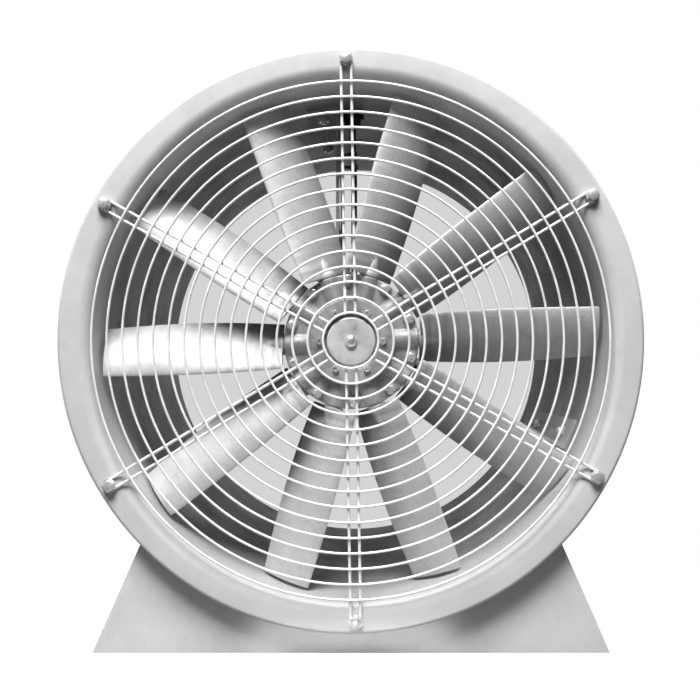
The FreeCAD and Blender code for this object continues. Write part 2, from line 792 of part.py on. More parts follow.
def arm_fasteners():
    """Bolts through each lug and plate, and through each plate's foot and the casing."""
    lug_grip = S.lug_width + S.arm_sheet
    thickness = S.arm_bolt * 0.65
    head_seat = S.lug_width - lug_face
    nut_seat = -S.arm_offset - S.arm_sheet / 2
    height = S.motor_radius + S.lug_height / 2
    bolts = []
    nuts = []
    for number, middle in enumerate(lug_places, start=1):
        shank = rod_x(f"lug_bolt_shank_{number}", S.arm_bolt / 2, head_seat - lug_grip - S.arm_bolt,
                      head_seat, y=middle, z=height)
        head = hexagon(f"lug_bolt_head_{number}", S.arm_bolt_head, thickness, head_seat, middle,
                       height, ALONG_X)
        bolt = fuse(f"lug_bolt_{number}", [shank, head])
        bolts.append(ring_of(f"lug_bolts_{number}", bolt, arm_angles))
        body = hexagon(f"lug_nut_body_{number}", S.arm_bolt_head, S.arm_bolt * 0.8,
                       nut_seat - S.arm_bolt * 0.8, middle, height, ALONG_X)
        hole = rod_x(f"lug_nut_hole_{number}", S.arm_bolt / 2, nut_seat - 10, nut_seat + 1,
                     middle, height)
        nuts.append(ring_of(f"lug_nuts_{number}", cut(f"lug_nut_{number}", body, hole), arm_angles))
    lift(group("motor_mount_bolts", bolts))
    lift(group("motor_mount_nuts", nuts))
    bolts = []
    nuts = []
    turns = [angle + tab_angle for angle in arm_angles]
    for number, middle in enumerate(wall_bolt_places, start=1):
        shank = rod_z(f"wall_bolt_shank_{number}", S.arm_bolt / 2, radius - S.arm_sheet - S.arm_bolt,
                      casing_radius + 1, y=middle)
        head = hexagon(f"wall_bolt_head_{number}", S.arm_bolt_head, thickness, y=middle,
                       z=casing_radius + 0.3)
        bolts.append(ring_of(f"wall_bolts_{number}", fuse(f"wall_bolt_{number}", [shank, head]), turns))
        flat = root((radius - S.arm_sheet) * (radius - S.arm_sheet)
                    - S.arm_bolt_head * S.arm_bolt_head / 3)
        body = hexagon(f"wall_nut_body_{number}", S.arm_bolt_head, S.arm_bolt * 0.7, y=middle,
                       z=flat - S.arm_bolt * 0.7)
        hole = rod_z(f"wall_nut_hole_{number}", S.arm_bolt / 2, radius - 20, radius + 1, y=middle)
        nuts.append(ring_of(f"wall_nuts_{number}", cut(f"wall_nut_{number}", body, hole), turns))
    lift(group("arm_wall_bolts", bolts))
    lift(group("arm_wall_nuts", nuts))


# ---------------------------------------------------------------------------------------------
# Rotor and hub

split = S.pitch_plane
hub_face = split - S.hub_disc_height
hub_rear = split + S.hub_disc_height
bush_face = hub_face + S.bush_face_depth
drive_radius = S.drive_end_diameter / 2
shaft_shoulder = S.motor_front - S.shield_depth + 2
shaft_back = bearing_back + S.bearing_width
blade_turns = [S.blade_turn.value + 360 / int(S.blade_count.value) * n - 90
               for n in range(int(S.blade_count.value))]
clamp_turns = [angle + 180 / int(S.blade_count.value) for angle in blade_turns]


def shaft():
    """Stepped shaft with a keyway and a tapped hole in its drive end."""
    thin = rod_y("shaft_drive_end", drive_radius, bush_face, shaft_shoulder)
    thick = rod_y("shaft_body", shaft_radius, shaft_shoulder, shaft_back)
    solid = fuse("shaft_solid", [thin, thick])
    half = S.key_width / 2
    slot = block("shaft_keyway", (-half, half), (bush_face + 6, hub_rear + S.bush_flange - 4),
                 (drive_radius - S.key_height / 2, drive_radius + 5))
    tap = rod_y("shaft_tapped_hole", S.end_bolt / 2, bush_face - 1, bush_face + 26)
    lift(cut("motor_shaft", solid, group("shaft_cuts", [slot, tap])))
    lift(group("shaft_key", [block("key_bar", (-half, half),
                                   (bush_face + 6, hub_rear + S.bush_flange - 4),
                                   (drive_radius - S.key_height / 2, drive_radius + S.key_height / 2))]))


def rotor_core():
    lift(turned("rotor_core", rectangle((shaft_radius, S.stator_bore / 2 - S.air_gap),
                                        (core_front, core_back))))


def shaft_seal():
    """Rubber lip seal that turns with the shaft just in front of the motor."""
    start = S.motor_front - S.shield_depth - 4.5
    lift(turned("shaft_seal", [
        (drive_radius, start), (drive_radius + 4, start), (drive_radius + 5, start + 1.5),
        (drive_radius + 8, start + 4), (drive_radius + 6, start + 4), (drive_radius + 3, start + 2.5),
        (drive_radius, start + 2.5)]))


def hub_halves():
    """Two castings, split in the plane of the pitch axes, with a half round boss over each shank."""
    bore = S.hub_bore / 2
    web = turned("hub_web_plate", rectangle((bore, S.hub_radius), (split - S.hub_web, split + S.hub_web)))
    disc = turned("hub_middle_disc", rectangle((bore, S.hub_disc_radius), (hub_face, hub_rear)))
    boss = rod_z("hub_boss", S.boss_radius, S.hub_disc_radius - 5, S.boss_end, y=split)
    pad = rod_y("hub_clamp_pad", S.clamp_pad, split - S.clamp_pad_height, split + S.clamp_pad_height,
                z=S.clamp_circle)
    solid = fuse("hub_solid", [web, disc, ring_of("hub_bosses", boss, blade_turns),
                               ring_of("hub_pads", pad, clamp_turns)])
    gap = S.running_gap
    shank = rod_z("shank_bore", S.shank_radius + gap, S.collar_start - gap, S.hub_radius + 10, y=split)
    collar = rod_z("collar_bore", S.shank_collar + gap, S.collar_start - gap,
                   S.collar_start + S.collar_width + gap, y=split)
    clamp = rod_y("clamp_hole", S.clamp_bolt / 2 + 0.3, split - 30, split + 30, z=S.clamp_circle)
    screw = rod_y("bush_screw_hole", S.bush_screw / 2 + 0.3, hub_face - 5, hub_rear + 5,
                  z=S.bush_screw_circle)
    tools = group("hub_holes", [
        ring_of("shank_bores", shank, blade_turns),
        ring_of("collar_bores", collar, blade_turns),
        ring_of("clamp_holes", clamp, clamp_turns),
        ring_of("bush_screw_holes", screw, steps(S.bush_screw_count, 30)),
        rod_y("hub_centre", bore, hub_face - 5, hub_rear + 5)])
    casting = cut("hub_casting", solid, tools)
    wide = S.hub_radius + 20
    ahead = block("ahead_of_split", (-wide, wide), (split - 60, split), (-wide, wide))
    behind = block("behind_split", (-wide, wide), (split, split + 60), (-wide, wide))
    lift(common("hub_front_half", casting, ahead))
    lift(common("hub_rear_half", casting, behind))


def hub_bush():
    bore = S.hub_bore / 2
    end = hub_rear + S.bush_flange
    turned_bush = turned("bush_blank", [
        (drive_radius, bush_face), (bore, bush_face), (bore, hub_rear),
        (S.bush_flange_radius, hub_rear), (S.bush_flange_radius, end), (drive_radius, end)])
    half = S.key_width / 2
    slot = block("bush_keyway", (-half, half), (bush_face - 1, end + 1),
                 (0, drive_radius + S.key_height / 2))
    hole = rod_y("bush_tapped_hole", S.bush_screw / 2, hub_rear - 1, end + 1, z=S.bush_screw_circle)
    holes = ring_of("bush_tapped_holes", hole, steps(S.bush_screw_count, 30))
    lift(cut("hub_bush", turned_bush, group("bush_cuts", [slot, holes])))


def hub_fasteners():
    turns = steps(S.bush_screw_count, 30)
    head = S.bush_screw * 0.8
    shank = rod_y("bush_screw_shank", S.bush_screw / 2, hub_face, hub_rear + S.bush_flange - 1,
                  z=S.bush_screw_circle)
    top = rod_y("bush_screw_top", S.bush_screw_head / 2, hub_face - head, hub_face, z=S.bush_screw_circle)
    socket = hexagon("bush_screw_socket", S.bush_screw * 0.8, head, y=hub_face - head - 1,
                     z=S.bush_screw_circle, rotation=ALONG_Y)
    screw = cut("bush_screw_one", fuse("bush_screw_solid", [shank, top]), socket)
    lift(ring_of("bush_screws", screw, turns))
    pad = S.clamp_pad_height
    bolt = fastener("clamp_bolt_form", S.clamp_bolt, S.clamp_head, pad * 2, extra=1)
    bolt_at = place(group("clamp_bolt_one", [bolt]), y=split - pad, z=S.clamp_circle)
    lift(ring_of("hub_clamp_bolts", bolt_at, clamp_turns))
    nut_form = nut("clamp_nut_form", S.clamp_bolt, S.clamp_head)
    nut_at = place(group("clamp_nut_one", [nut_form]), y=split + pad, z=S.clamp_circle)
    lift(ring_of("hub_clamp_nuts", nut_at, clamp_turns))


def end_cap():
    face = bush_face - S.end_cap_height
    rim = 2
    lift(turned("shaft_end_cap", [
        (S.end_bolt / 2 + 0.3, face), (S.end_cap_radius - rim, face), (S.end_cap_radius, face + rim),
        (S.end_cap_radius, bush_face), (S.end_bolt / 2 + 0.3, bush_face)]))
    head = S.end_bolt * 0.7
    shank = rod_y("end_bolt_shank", S.end_bolt / 2, face, bush_face + 24)
    top = rod_y("end_bolt_top", S.end_bolt_head / 2, face - head, face)
    socket = hexagon("end_bolt_socket", S.end_bolt * 0.8, head, y=face - head - 2, rotation=ALONG_Y)
    lift(cut("shaft_end_bolt", fuse("end_bolt_solid", [shank, top]), socket))


# ---------------------------------------------------------------------------------------------
# Blades: drawn at twelve o'clock, leading edge to the left and towards the inlet

SECTIONS = 6
POINTS = 14
TRAILING_EDGE = 0.012  # thickness of the trailing edge, as a share of the chord


def section(height, share):
    """Closed wire of the blade section at a height, share of the way from root to tip."""

    def between(low, high):
        return low.value + (high.value - low.value) * share

    chord = between(S.root_chord, S.tip_chord)
    flatten = math.sin(share * math.pi / 2)
    stagger = S.root_stagger.value + (S.tip_stagger.value - S.root_stagger.value) * flatten
    thick = between(S.root_thickness, S.tip_thickness)
    angle = math.radians(stagger)
    along = Vector(math.cos(angle), math.sin(angle), 0)
    outward = Vector(math.sin(angle), -math.cos(angle), 0)
    middle = Vector(0, S.pitch_plane.value, height)

    def point(station, side):
        camber = 4 * S.camber.value * station * (1 - station)
        form = (2.969 * math.sqrt(station) - 1.26 * station - 3.516 * station ** 2
                + 2.843 * station ** 3 - 1.036 * station ** 4)
        half = thick * form / 2 + TRAILING_EDGE / 2 * station
        distance = (station - S.pitch_axis_share.value) * chord
        axis_camber = 4 * S.camber.value * S.pitch_axis_share.value * (1 - S.pitch_axis_share.value)
        return middle + along * distance + outward * ((camber - axis_camber + side * half) * chord)

    stations = [(1 - math.cos(math.pi * n / POINTS)) / 2 for n in range(POINTS + 1)]
    upper = [point(station, 1) for station in reversed(stations)]
    lower = [point(station, -1) for station in stations[1:]]
    curve = Part.BSplineCurve()
    curve.interpolate(upper + lower)
    return Part.Wire([curve.toShape(), Part.LineSegment(lower[-1], upper[0]).toShape()])


def blades():
    tip = radius - S.tip_clearance
    wires = []
    for number in range(SECTIONS):
        share = number / (SECTIONS - 1)
        height = S.blade_root.value + (tip.value - S.blade_root.value) * share
        wires.append(section(height, share))
    aerofoil = doc.addObject("Part::Feature", "blade_aerofoil")
    aerofoil.Shape = Part.makeLoft(wires, True, False)
    shank = rod_z("blade_shank", S.shank_radius, S.collar_start + 1, S.blade_root + 6, y=split)
    collar = rod_z("blade_collar", S.shank_collar, S.collar_start,
                   S.collar_start + S.collar_width, y=split)
    fairing = doc.addObject("Part::Cone", "blade_fairing")
    bind(fairing, Radius1=S.fairing_radius, Radius2=2, Height=S.fairing_length)
    place(fairing, y=split, z=S.hub_radius + 0.4)
    blade = fuse("blade_form", [aerofoil, shank, collar, fairing])
    for number, degrees in enumerate(blade_turns, start=1):
        name = f"blade_{number:02d}"
        lift(group(name, [round_the_axis(group(f"{name}_turned", [blade]), degrees)]))


# ---------------------------------------------------------------------------------------------
# Cable from the terminal box, through the casing, along the top arm to the motor

cable_radius = S.cable / 2
cable_run = radius - S.cable_wall_gap
gland_body = S.gland_hex / 2


def glands():
    """Motor gland, and the casing gland whose thread passes through the wall."""
    face = S.motor_radius + S.fin_height + 2
    thread = S.gland_thread / 2
    lower = rod_z("motor_gland_thread", thread, face - 6, face + 1, y=S.motor_gland_place)
    flats = hexagon("motor_gland_hex", S.gland_hex, 8, y=S.motor_gland_place, z=face)
    dome = rod_z("motor_gland_dome", gland_body - 1.5, face + 8, face + 20, y=S.motor_gland_place)
    hole = rod_z("motor_gland_hole", cable_radius, face - 10, face + 30, y=S.motor_gland_place)
    lift(cut("motor_gland", fuse("motor_gland_solid", [lower, flats, dome]), hole))
    inside = radius - 1.5
    thread_rod = rod_z("casing_gland_thread", thread, inside - 2, casing_radius + 8, y=S.cable_entry)
    flats = hexagon("casing_gland_hex", S.gland_hex + 3, 7, y=S.cable_entry, z=inside - 7)
    dome = rod_z("casing_gland_dome", gland_body - 1, inside - 18, inside - 7, y=S.cable_entry)
    hole = rod_z("casing_gland_hole", cable_radius, inside - 30, casing_radius + 20, y=S.cable_entry)
    lift(cut("casing_gland", fuse("casing_gland_solid", [thread_rod, flats, dome]), hole))


def cable():
    """Cable: out of the box, down through the casing, back along the top arm and down to the motor."""
    bend = S.cable_bend
    run = cable_run
    entry = S.cable_entry
    drop = S.motor_gland_place
    into_box = rod_z("cable_into_box", cable_radius, run + bend, casing_radius + 14, y=entry)
    first = torus("cable_first_bend", bend, cable_radius, y=entry + bend, z=run + bend,
                  rotation=Rotation(Vector(0, -1, 0), Vector(0, 0, -1), Vector(1, 0, 0), "ZXY"), sweep=90)
    along = rod_y("cable_along", cable_radius, entry + bend, drop - bend, z=run)
    second = torus("cable_second_bend", bend, cable_radius, y=drop - bend, z=run - bend,
                   rotation=Rotation(Vector(0, 1, 0), Vector(0, 0, 1), Vector(1, 0, 0), "ZXY"), sweep=90)
    down = rod_z("cable_down", cable_radius, S.motor_radius - S.motor_wall, run - bend, y=drop)
    lift(fuse("motor_cable", [into_box, first, along, second, down]))


def cable_clips():
    """Saddle clips that hold the cable to the top arm."""
    clips = []
    wall = 1.5
    plate = -S.arm_offset + S.arm_sheet / 2
    places = [S.cable_entry + S.cable_bend + 15, S.motor_gland_place - S.cable_bend - 15]
    for number, middle in enumerate(places, start=1):
        low = middle - 5
        high = middle + 5
        ring = rod_y(f"clip_ring_{number}", cable_radius + wall, low, high, z=cable_run)
        strap = block(f"clip_strap_{number}", (plate, 0), (low, high),
                      (cable_run - wall, cable_run + wall))
        tab = block(f"clip_tab_{number}", (plate, plate + wall), (low, high),
                    (cable_run - 12, cable_run + wall))
        hole = rod_y(f"clip_hole_{number}", cable_radius, low - 1, high + 1, z=cable_run)
        clips.append(cut(f"clip_{number}", fuse(f"clip_solid_{number}", [ring, strap, tab]), hole))
    lift(group("cable_clips", clips))


# ---------------------------------------------------------------------------------------------
# Terminal box on top of the casing

box_x = (-S.box_width / 2, S.box_width / 2)
box_y = (S.cable_entry - S.box_length / 2, S.cable_entry + S.box_length / 2)
box_floor = casing_radius + S.saddle_height
box_top = box_floor + S.box_height
lid_start = box_top + S.gasket


def inset(pair, amount):
    return (pair[0] + amount, pair[1] - amount)


def corners(name, radius_size, start, end):
    """Upright rods near the four corners of the terminal box."""
    rods = []
    for number, (side, back_side) in enumerate(((0, 0), (0, 1), (1, 0), (1, 1)), start=1):
        across = inset(box_x, 8)[side]
        along = inset(box_y, 8)[back_side]
        rods.append(rod_z(f"{name}_{number}", radius_size, start, end, x=across, y=along))
    return rods


def terminal_box():
    wall = S.box_wall
    inner_x = inset(box_x, wall)
    inner_y = inset(box_y, wall)
    saddle_block = block("saddle_block", inset(box_x, 6), inset(box_y, 6), (radius, box_floor))
    saddle_tube = rod_y("saddle_tube", casing_radius, front, back)
    passage = rod_z("saddle_passage", S.gland_thread / 2 + 2, radius - 5, box_floor + 5, y=S.cable_entry)
    head_room = rod_z("saddle_head_room", S.arm_bolt_head / 2 + 4, radius - 5,
                      casing_radius + S.arm_bolt, y=wall_bolt_places[0])
    head_room_at = round_the_axis(group("saddle_head_room_at", [head_room]), tab_angle)
    tools = [saddle_tube, passage, head_room_at]
    lift(cut("terminal_box_saddle", saddle_block, group("saddle_cuts", tools)))

    shell = block("box_outside", box_x, box_y, (box_floor, box_top))
    room = block("box_inside", inner_x, inner_y, (box_floor + wall, box_top + 1))
    walls = cut("box_walls", shell, room)
    posts = corners("box_post", 6, box_floor, box_top)
    solid = fuse("box_solid", [walls] + posts)
    taps = corners("box_tapped_hole", S.lid_screw / 2, box_top - 18, box_top + 1)
    entry = rod_z("box_cable_hole", S.gland_thread / 2 + 2, box_floor - 1, box_floor + wall + 1,
                  y=S.cable_entry)
    supply = rod_x("box_supply_hole", S.gland_thread / 2, S.box_width / 2 - wall - 1,
                   S.box_width / 2 + 1, y=S.cable_entry, z=box_floor + 17)
    lift(cut("terminal_box_base", solid, group("box_cuts", taps + [entry, supply])))

    band = block("gasket_outside", inset(box_x, 1), inset(box_y, 1), (box_top, lid_start))
    open_middle = block("gasket_inside", inset(box_x, 5), inset(box_y, 5), (box_top - 1, lid_start + 1))
    ears = corners("gasket_ear", 6, box_top, lid_start)
    gasket_solid = fuse("gasket_solid", [cut("gasket_band", band, open_middle)] + ears)
    gasket_holes = corners("gasket_hole", S.lid_screw / 2 + 0.5, box_top - 1, lid_start + 1)
    lift(cut("terminal_box_gasket", gasket_solid, group("gasket_holes", gasket_holes)))

    lid_block = block("lid_outside", box_x, box_y, (lid_start, lid_start + S.lid))
    lid_room = block("lid_inside", inner_x, inner_y, (lid_start - 1, lid_start + S.lid - wall))
    lid_posts = corners("lid_post", 6, lid_start, lid_start + S.lid)
    lid_solid = fuse("lid_solid", [cut("lid_walls", lid_block, lid_room)] + lid_posts)
    lid_holes = corners("lid_hole", S.lid_screw / 2 + 0.5, lid_start - 1, lid_start + S.lid + 1)
    lift(cut("terminal_box_lid", lid_solid, group("lid_holes", lid_holes)))

    top = lid_start + S.lid
    shanks = corners("lid_screw_shank", S.lid_screw / 2, box_top - 15, top + 1)
    heads = corners("lid_screw_head", S.lid_screw * 0.9, top, top + S.lid_screw / 2)
    screws = []
    for number, (shank, head) in enumerate(zip(shanks, heads), start=1):
        slot = block(f"lid_screw_slot_{number}",
                     (inset(box_x, 8)[(number - 1) // 2] - 6, inset(box_x, 8)[(number - 1) // 2] + 6),
                     (inset(box_y, 8)[(number - 1) % 2] - 0.6, inset(box_y, 8)[(number - 1) % 2] + 0.6),
                     (top + 1.2, top + 5))
        screws.append(cut(f"lid_screw_{number}", fuse(f"lid_screw_solid_{number}", [shank, head]), slot))
    lift(group("terminal_lid_screws", screws))

    block_start = S.cable_entry + S.gland_thread / 2 + 8
    along = (block_start, block_start + 22)
    base = block("terminal_base", (-30, 30), along, (box_floor + wall, box_floor + wall + 14))
    solids = [base]
    for number, step in enumerate((-29, -10, 10, 29), start=1):
        solids.append(block(f"terminal_rib_{number}", (step - 1, step + 1), along,
                            (box_floor + wall + 13, box_floor + wall + 20)))
    lift(fuse("terminal_block", solids))
    studs = []
    for number, step in enumerate((-20, 0, 20), start=1):
        studs.append(rod_z(f"terminal_stud_{number}", 2.5, box_floor + wall + 14, box_floor + wall + 26,
                           x=step, y=block_start + 11))
    lift(group("terminal_studs", studs))

    face = S.box_width / 2
    height = box_floor + 17
    thread = rod_x("supply_thread", S.gland_thread / 2, face - wall, face + 1, y=S.cable_entry, z=height)
    flats = hexagon("supply_hex", S.gland_hex, 8, face, S.cable_entry, height, ALONG_X)
    dome = rod_x("supply_dome", gland_body - 1.5, face + 8, face + 24, y=S.cable_entry, z=height)
    hole = rod_x("supply_hole", S.supply_bore / 2, face - 10, face + 40, y=S.cable_entry, z=height)
    lift(cut("supply_gland", fuse("supply_solid", [thread, flats, dome]), hole))


# ---------------------------------------------------------------------------------------------

inlet_ring()
casing_shell()
outlet_flange()
foot("front_foot", -1)
foot("rear_foot", 1)
guard_rings()
guard_spokes()
guard_fasteners()
motor_frame()
shield("motor_front_shield", -1, S.motor_front)
shield("motor_rear_shield", 1, motor_back)
tie_bolts()
stator()
bearings()
support_arms()
arm_fasteners()
shaft()
rotor_core()
shaft_seal()
hub_halves()
hub_bush()
hub_fasteners()
end_cap()
blades()
glands()
cable()
cable_clips()
terminal_box()

NODES = [
    "inlet_ring", "casing_shell", "outlet_flange", "front_foot", "rear_foot",
    "guard_rings", "guard_spokes", "guard_washers", "guard_bolts", "guard_nuts",
    "motor_frame", "motor_front_shield", "motor_rear_shield", "motor_tie_bolts",
    "stator_core", "stator_windings", "bearing_outer_rings", "bearing_balls",
    "support_arm_top", "support_arm_left", "support_arm_right",
    "motor_mount_bolts", "motor_mount_nuts", "arm_wall_bolts", "arm_wall_nuts",
    "motor_shaft", "shaft_key", "rotor_core", "bearing_inner_rings", "shaft_seal",
    "hub_front_half", "hub_rear_half", "hub_bush", "bush_screws",
    "hub_clamp_bolts", "hub_clamp_nuts", "shaft_end_cap", "shaft_end_bolt",
    "motor_gland", "casing_gland", "motor_cable", "cable_clips",
    "terminal_box_saddle", "terminal_box_base", "terminal_box_gasket", "terminal_box_lid",
    "terminal_lid_screws", "terminal_block", "terminal_studs", "supply_gland",
] + [f"blade_{number:02d}" for number in range(1, int(S.blade_count.value) + 1)]

doc.recompute()
for piece in doc.Objects:
    for state in piece.State:
        if state in ("Invalid", "Error"):
            raise RuntimeError(f"{piece.Name} could not be built")
os.makedirs("parts", exist_ok=True)
shapes = {}
for name in NODES:
    shape = doc.getObjectsByLabel(name)[0].Shape
    if shape.isNull() or not shape.isValid() or not shape.Solids:
        raise RuntimeError(f"{name} has no sound shape")
    shapes[name] = shape
for name, shape in shapes.items():
    shape.exportStep(f"parts/{name}.step")
    print(name, len(shape.Solids), round(shape.Volume))
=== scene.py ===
import json
import math

import bmesh
import bpy
from mathutils import Matrix, Vector

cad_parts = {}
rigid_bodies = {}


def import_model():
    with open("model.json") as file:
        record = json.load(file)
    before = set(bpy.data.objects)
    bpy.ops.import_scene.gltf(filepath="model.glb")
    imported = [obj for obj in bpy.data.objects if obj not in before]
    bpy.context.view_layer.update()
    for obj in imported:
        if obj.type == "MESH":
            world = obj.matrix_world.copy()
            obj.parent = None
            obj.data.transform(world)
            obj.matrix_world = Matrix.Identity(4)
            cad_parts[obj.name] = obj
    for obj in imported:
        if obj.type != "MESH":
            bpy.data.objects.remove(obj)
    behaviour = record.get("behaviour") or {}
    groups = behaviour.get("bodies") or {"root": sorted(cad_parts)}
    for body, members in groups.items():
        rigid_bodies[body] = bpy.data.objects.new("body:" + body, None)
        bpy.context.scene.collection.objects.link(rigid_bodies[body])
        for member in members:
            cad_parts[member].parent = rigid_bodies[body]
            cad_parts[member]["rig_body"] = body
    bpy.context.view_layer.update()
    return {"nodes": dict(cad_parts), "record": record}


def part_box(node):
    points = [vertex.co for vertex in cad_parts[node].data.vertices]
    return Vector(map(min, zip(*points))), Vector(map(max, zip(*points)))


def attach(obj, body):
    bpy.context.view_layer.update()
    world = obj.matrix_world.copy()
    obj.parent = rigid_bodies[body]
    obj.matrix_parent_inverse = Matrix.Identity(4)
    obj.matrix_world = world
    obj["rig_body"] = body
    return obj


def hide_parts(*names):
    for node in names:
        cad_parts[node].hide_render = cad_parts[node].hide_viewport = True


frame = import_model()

bl_info = {
    "name": "Cased Axial Fan",
    "version": (1, 0, 0),
    "blender": (4, 5, 0),
    "location": "View3D > Sidebar > Fan",
    "description": "Makes the looks of a cased axial-flow fan round its design frame",
    "category": "Object",
}


def middle_of(node):
    low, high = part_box(node)
    return (low + high) / 2


def half_width(node):
    """The radius of a node that is round about the fan's axis."""
    low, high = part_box(node)
    return (high.x - low.x) / 2


def facing(node, side):
    """The lowest (side 0) or highest (side 1) y of a node."""
    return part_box(node)[side].y


# Places read from the frame. The fan's axis runs along Y through AXIS.
AXIS = Vector((0, 0, middle_of("outlet_flange").z))
RING_FACE = facing("inlet_ring", 0)
SHELL_BACK = facing("casing_shell", 1)
SHELL_RADIUS = half_width("casing_shell")
RING_RADIUS = half_width("inlet_ring")
HUB_RADIUS = half_width("hub_front_half")
SPLIT = facing("hub_front_half", 1)        # the plane where the hub's halves meet, through the blades' axes
SLOTS = {part["node"]: part["material_slot"] for part in frame["record"]["subparts"]}


# ---------------------------------------------------------------------------------------------
# Settings


def millimetres(name, description, default):
    """A length given in millimetres and kept in metres."""
    return bpy.props.FloatProperty(
        name=name, description=description, default=default / 1000, unit="LENGTH", precision=4)


def colour(name, description, default):
    return bpy.props.FloatVectorProperty(
        name=name, description=description, default=default, subtype="COLOR", size=3, min=0, max=1)


def number(name, description, default):
    return bpy.props.FloatProperty(name=name, description=description, default=default)


def whole(name, description, default):
    return bpy.props.IntProperty(name=name, description=description, default=default, min=1)


class FanCasingSettings(bpy.types.PropertyGroup):
    wall: millimetres("Wall", "Sheet thickness of the casing", 3)
    mouth_radius: millimetres("Mouth radius", "Radius of the bell mouth", 16.5)
    edge_radius: millimetres("Edge radius", "Radius of the ring's rolled edge", 5)
    edge_depth: millimetres("Edge depth", "Depth of the ring's turned-back edge", 15)
    collar: millimetres("Collar", "Straight collar behind the bell mouth", 8)
    weld_bead: millimetres("Weld bead", "Width of the welds along the casing", 4)
    seam_turn: number("Seam", "Degrees of the lengthwise weld, from the right and upwards", 222)
    paint: colour("Paint", "Colour of the casing paint", (0.5, 0.505, 0.5))
    # Painted shade: the dark grey painted on the casing's inside wall deep in the duct.
    duct_shade: colour("Soot", "Colour of the dirt inside the casing", (0.2, 0.201, 0.203))


class FanGuardSettings(bpy.types.PropertyGroup):
    ring_wire: millimetres("Ring wire", "Diameter of the ring wires", 3)
    spoke_wire: millimetres("Spoke wire", "Diameter of the spoke wires", 3.5)
    rings: whole("Rings", "Number of concentric rings", 16)
    first_radius: millimetres("First radius", "Radius of the innermost ring", 33.2)
    pitch: millimetres("Pitch", "Distance from one ring to the next", 18.5)
    spokes: whole("Spokes", "Number of hairpin spokes", 6)
    gap: millimetres("Gap", "Distance between a spoke's two wires", 12.2)
    bolt_circle: millimetres("Bolt circle", "Radius of the guard's bolt circle", 338)
    turn: number("Turn", "Degrees that the guard is turned", 1)
    nugget: millimetres("Nugget", "Width of a spot weld", 4.2)
    zinc: colour("Zinc", "Colour of the guard's zinc", (0.92, 0.92, 0.91))


class FanBladeSettings(bpy.types.PropertyGroup):
    count: whole("Blades", "Number of blades", 10)
    turn: number("Turn", "Degrees of the first blade above the horizontal", 3)
    root: millimetres("Root", "Radius of the blade's root", 86)
    tip: millimetres("Tip", "Radius of the blade's tip", 310)
    root_chord: millimetres("Root chord", "Chord at the root", 92)
    tip_chord: millimetres("Tip chord", "Chord at the tip", 68)
    root_stagger: number("Root stagger", "Degrees from the plane of rotation at the root", 52)
    tip_stagger: number("Tip stagger", "Degrees from the plane of rotation at the tip", 28)
    root_thickness: number("Root thickness", "Share of the chord", 0.115)
    tip_thickness: number("Tip thickness", "Share of the chord", 0.085)
    camber: number("Camber", "Share of the chord", 0.07)
    pivot: number("Pivot", "Where the pitch axis crosses the chord", 0.42)
    metal: colour("Metal", "Colour of the blades", (0.6, 0.605, 0.61))


class FanStageSettings(bpy.types.PropertyGroup):
    floor: colour("Floor", "Colour of the floor", (0.25, 0.25, 0.25))
    floor_radius: millimetres("Floor radius", "Radius of the floor's disc", 640)
    floor_glow: number("Floor glow", "How much the floor shines by itself", 0.9)
    # Painted shade: the grey tone that the camera sees in the room straight beyond the fan.
    beyond: colour("Beyond", "Tone of the room straight beyond the fan", (0.66, 0.66, 0.66))
    key_power: number("Key light", "Power of the key light in watts", 400)
    fill_power: number("Fill light", "Power of the low light from the left in watts", 3)
    card_power: number("Foot light", "Power of the low strip light in front in watts", 0.022)
    rear_power: number("Rear light", "Power of the light low behind the fan in watts", 2.6)
    side_power: number("Side lights", "Power of the light on each side, a little behind, in watts", 14)
    ambient: number("Ambient", "Strength of the room's light", 0.06)


# ---------------------------------------------------------------------------------------------
# Node helpers


class Graph:
    """A short way to add nodes to a tree and link them."""

    def __init__(self, tree):
        self.tree = tree

    def add(self, kind, settings=None, **inputs):
        """Adds a node. An input's name has _ for a blank; a value that is a socket is linked."""
        node = self.tree.nodes.new(kind)
        for key, value in (settings or {}).items():
            setattr(node, key, value)
        for key, value in inputs.items():
            self.give(self.socket(node, key), value)
        return node

    def socket(self, node, key):
        if key.startswith("in") and key[2:].isdigit():
            return node.inputs[int(key[2:])]
        return node.inputs[key.replace("_", " ")]

    def give(self, socket, value):
        if isinstance(value, bpy.types.NodeSocket):
            self.tree.links.new(value, socket)
        else:
            socket.default_value = value

    def math(self, operation, first, second=0.0, third=0.0, clamp=False):
        node = self.add("ShaderNodeMath", {"operation": operation, "use_clamp": clamp},
                        in0=first, in1=second, in2=third)
        return node.outputs[0]

    def times(self, first, second):
        return self.math("MULTIPLY", first, second)

    def plus(self, first, second):
        return self.math("ADD", first, second)

    def vector(self, operation, first, second=(0, 0, 0)):
        return self.add("ShaderNodeVectorMath", {"operation": operation}, in0=first, in1=second)

    def mix(self, factor, first, second):
        """Mixes two colours."""
        node = self.add("ShaderNodeMix", {"data_type": "RGBA"})
        self.give(node.inputs[0], factor)
        self.give(node.inputs[6], first)
        self.give(node.inputs[7], second)
        return node.outputs[2]

    def ramp(self, value, low, high, start=0.0, end=1.0, smooth=True):
        """Maps value from low..high to start..end, and holds it there."""
        kind = "SMOOTHSTEP" if smooth else "LINEAR"
        node = self.add("ShaderNodeMapRange", {"interpolation_type": kind}, Value=value,
                        From_Min=low, From_Max=high, To_Min=start, To_Max=end)
        return node.outputs[0]

    def noise(self, vector, scale, detail=3.0, roughness=0.5):
        node = self.add("ShaderNodeTexNoise", Vector=vector, Scale=scale, Detail=detail, Roughness=roughness)
        return node.outputs["Fac"]


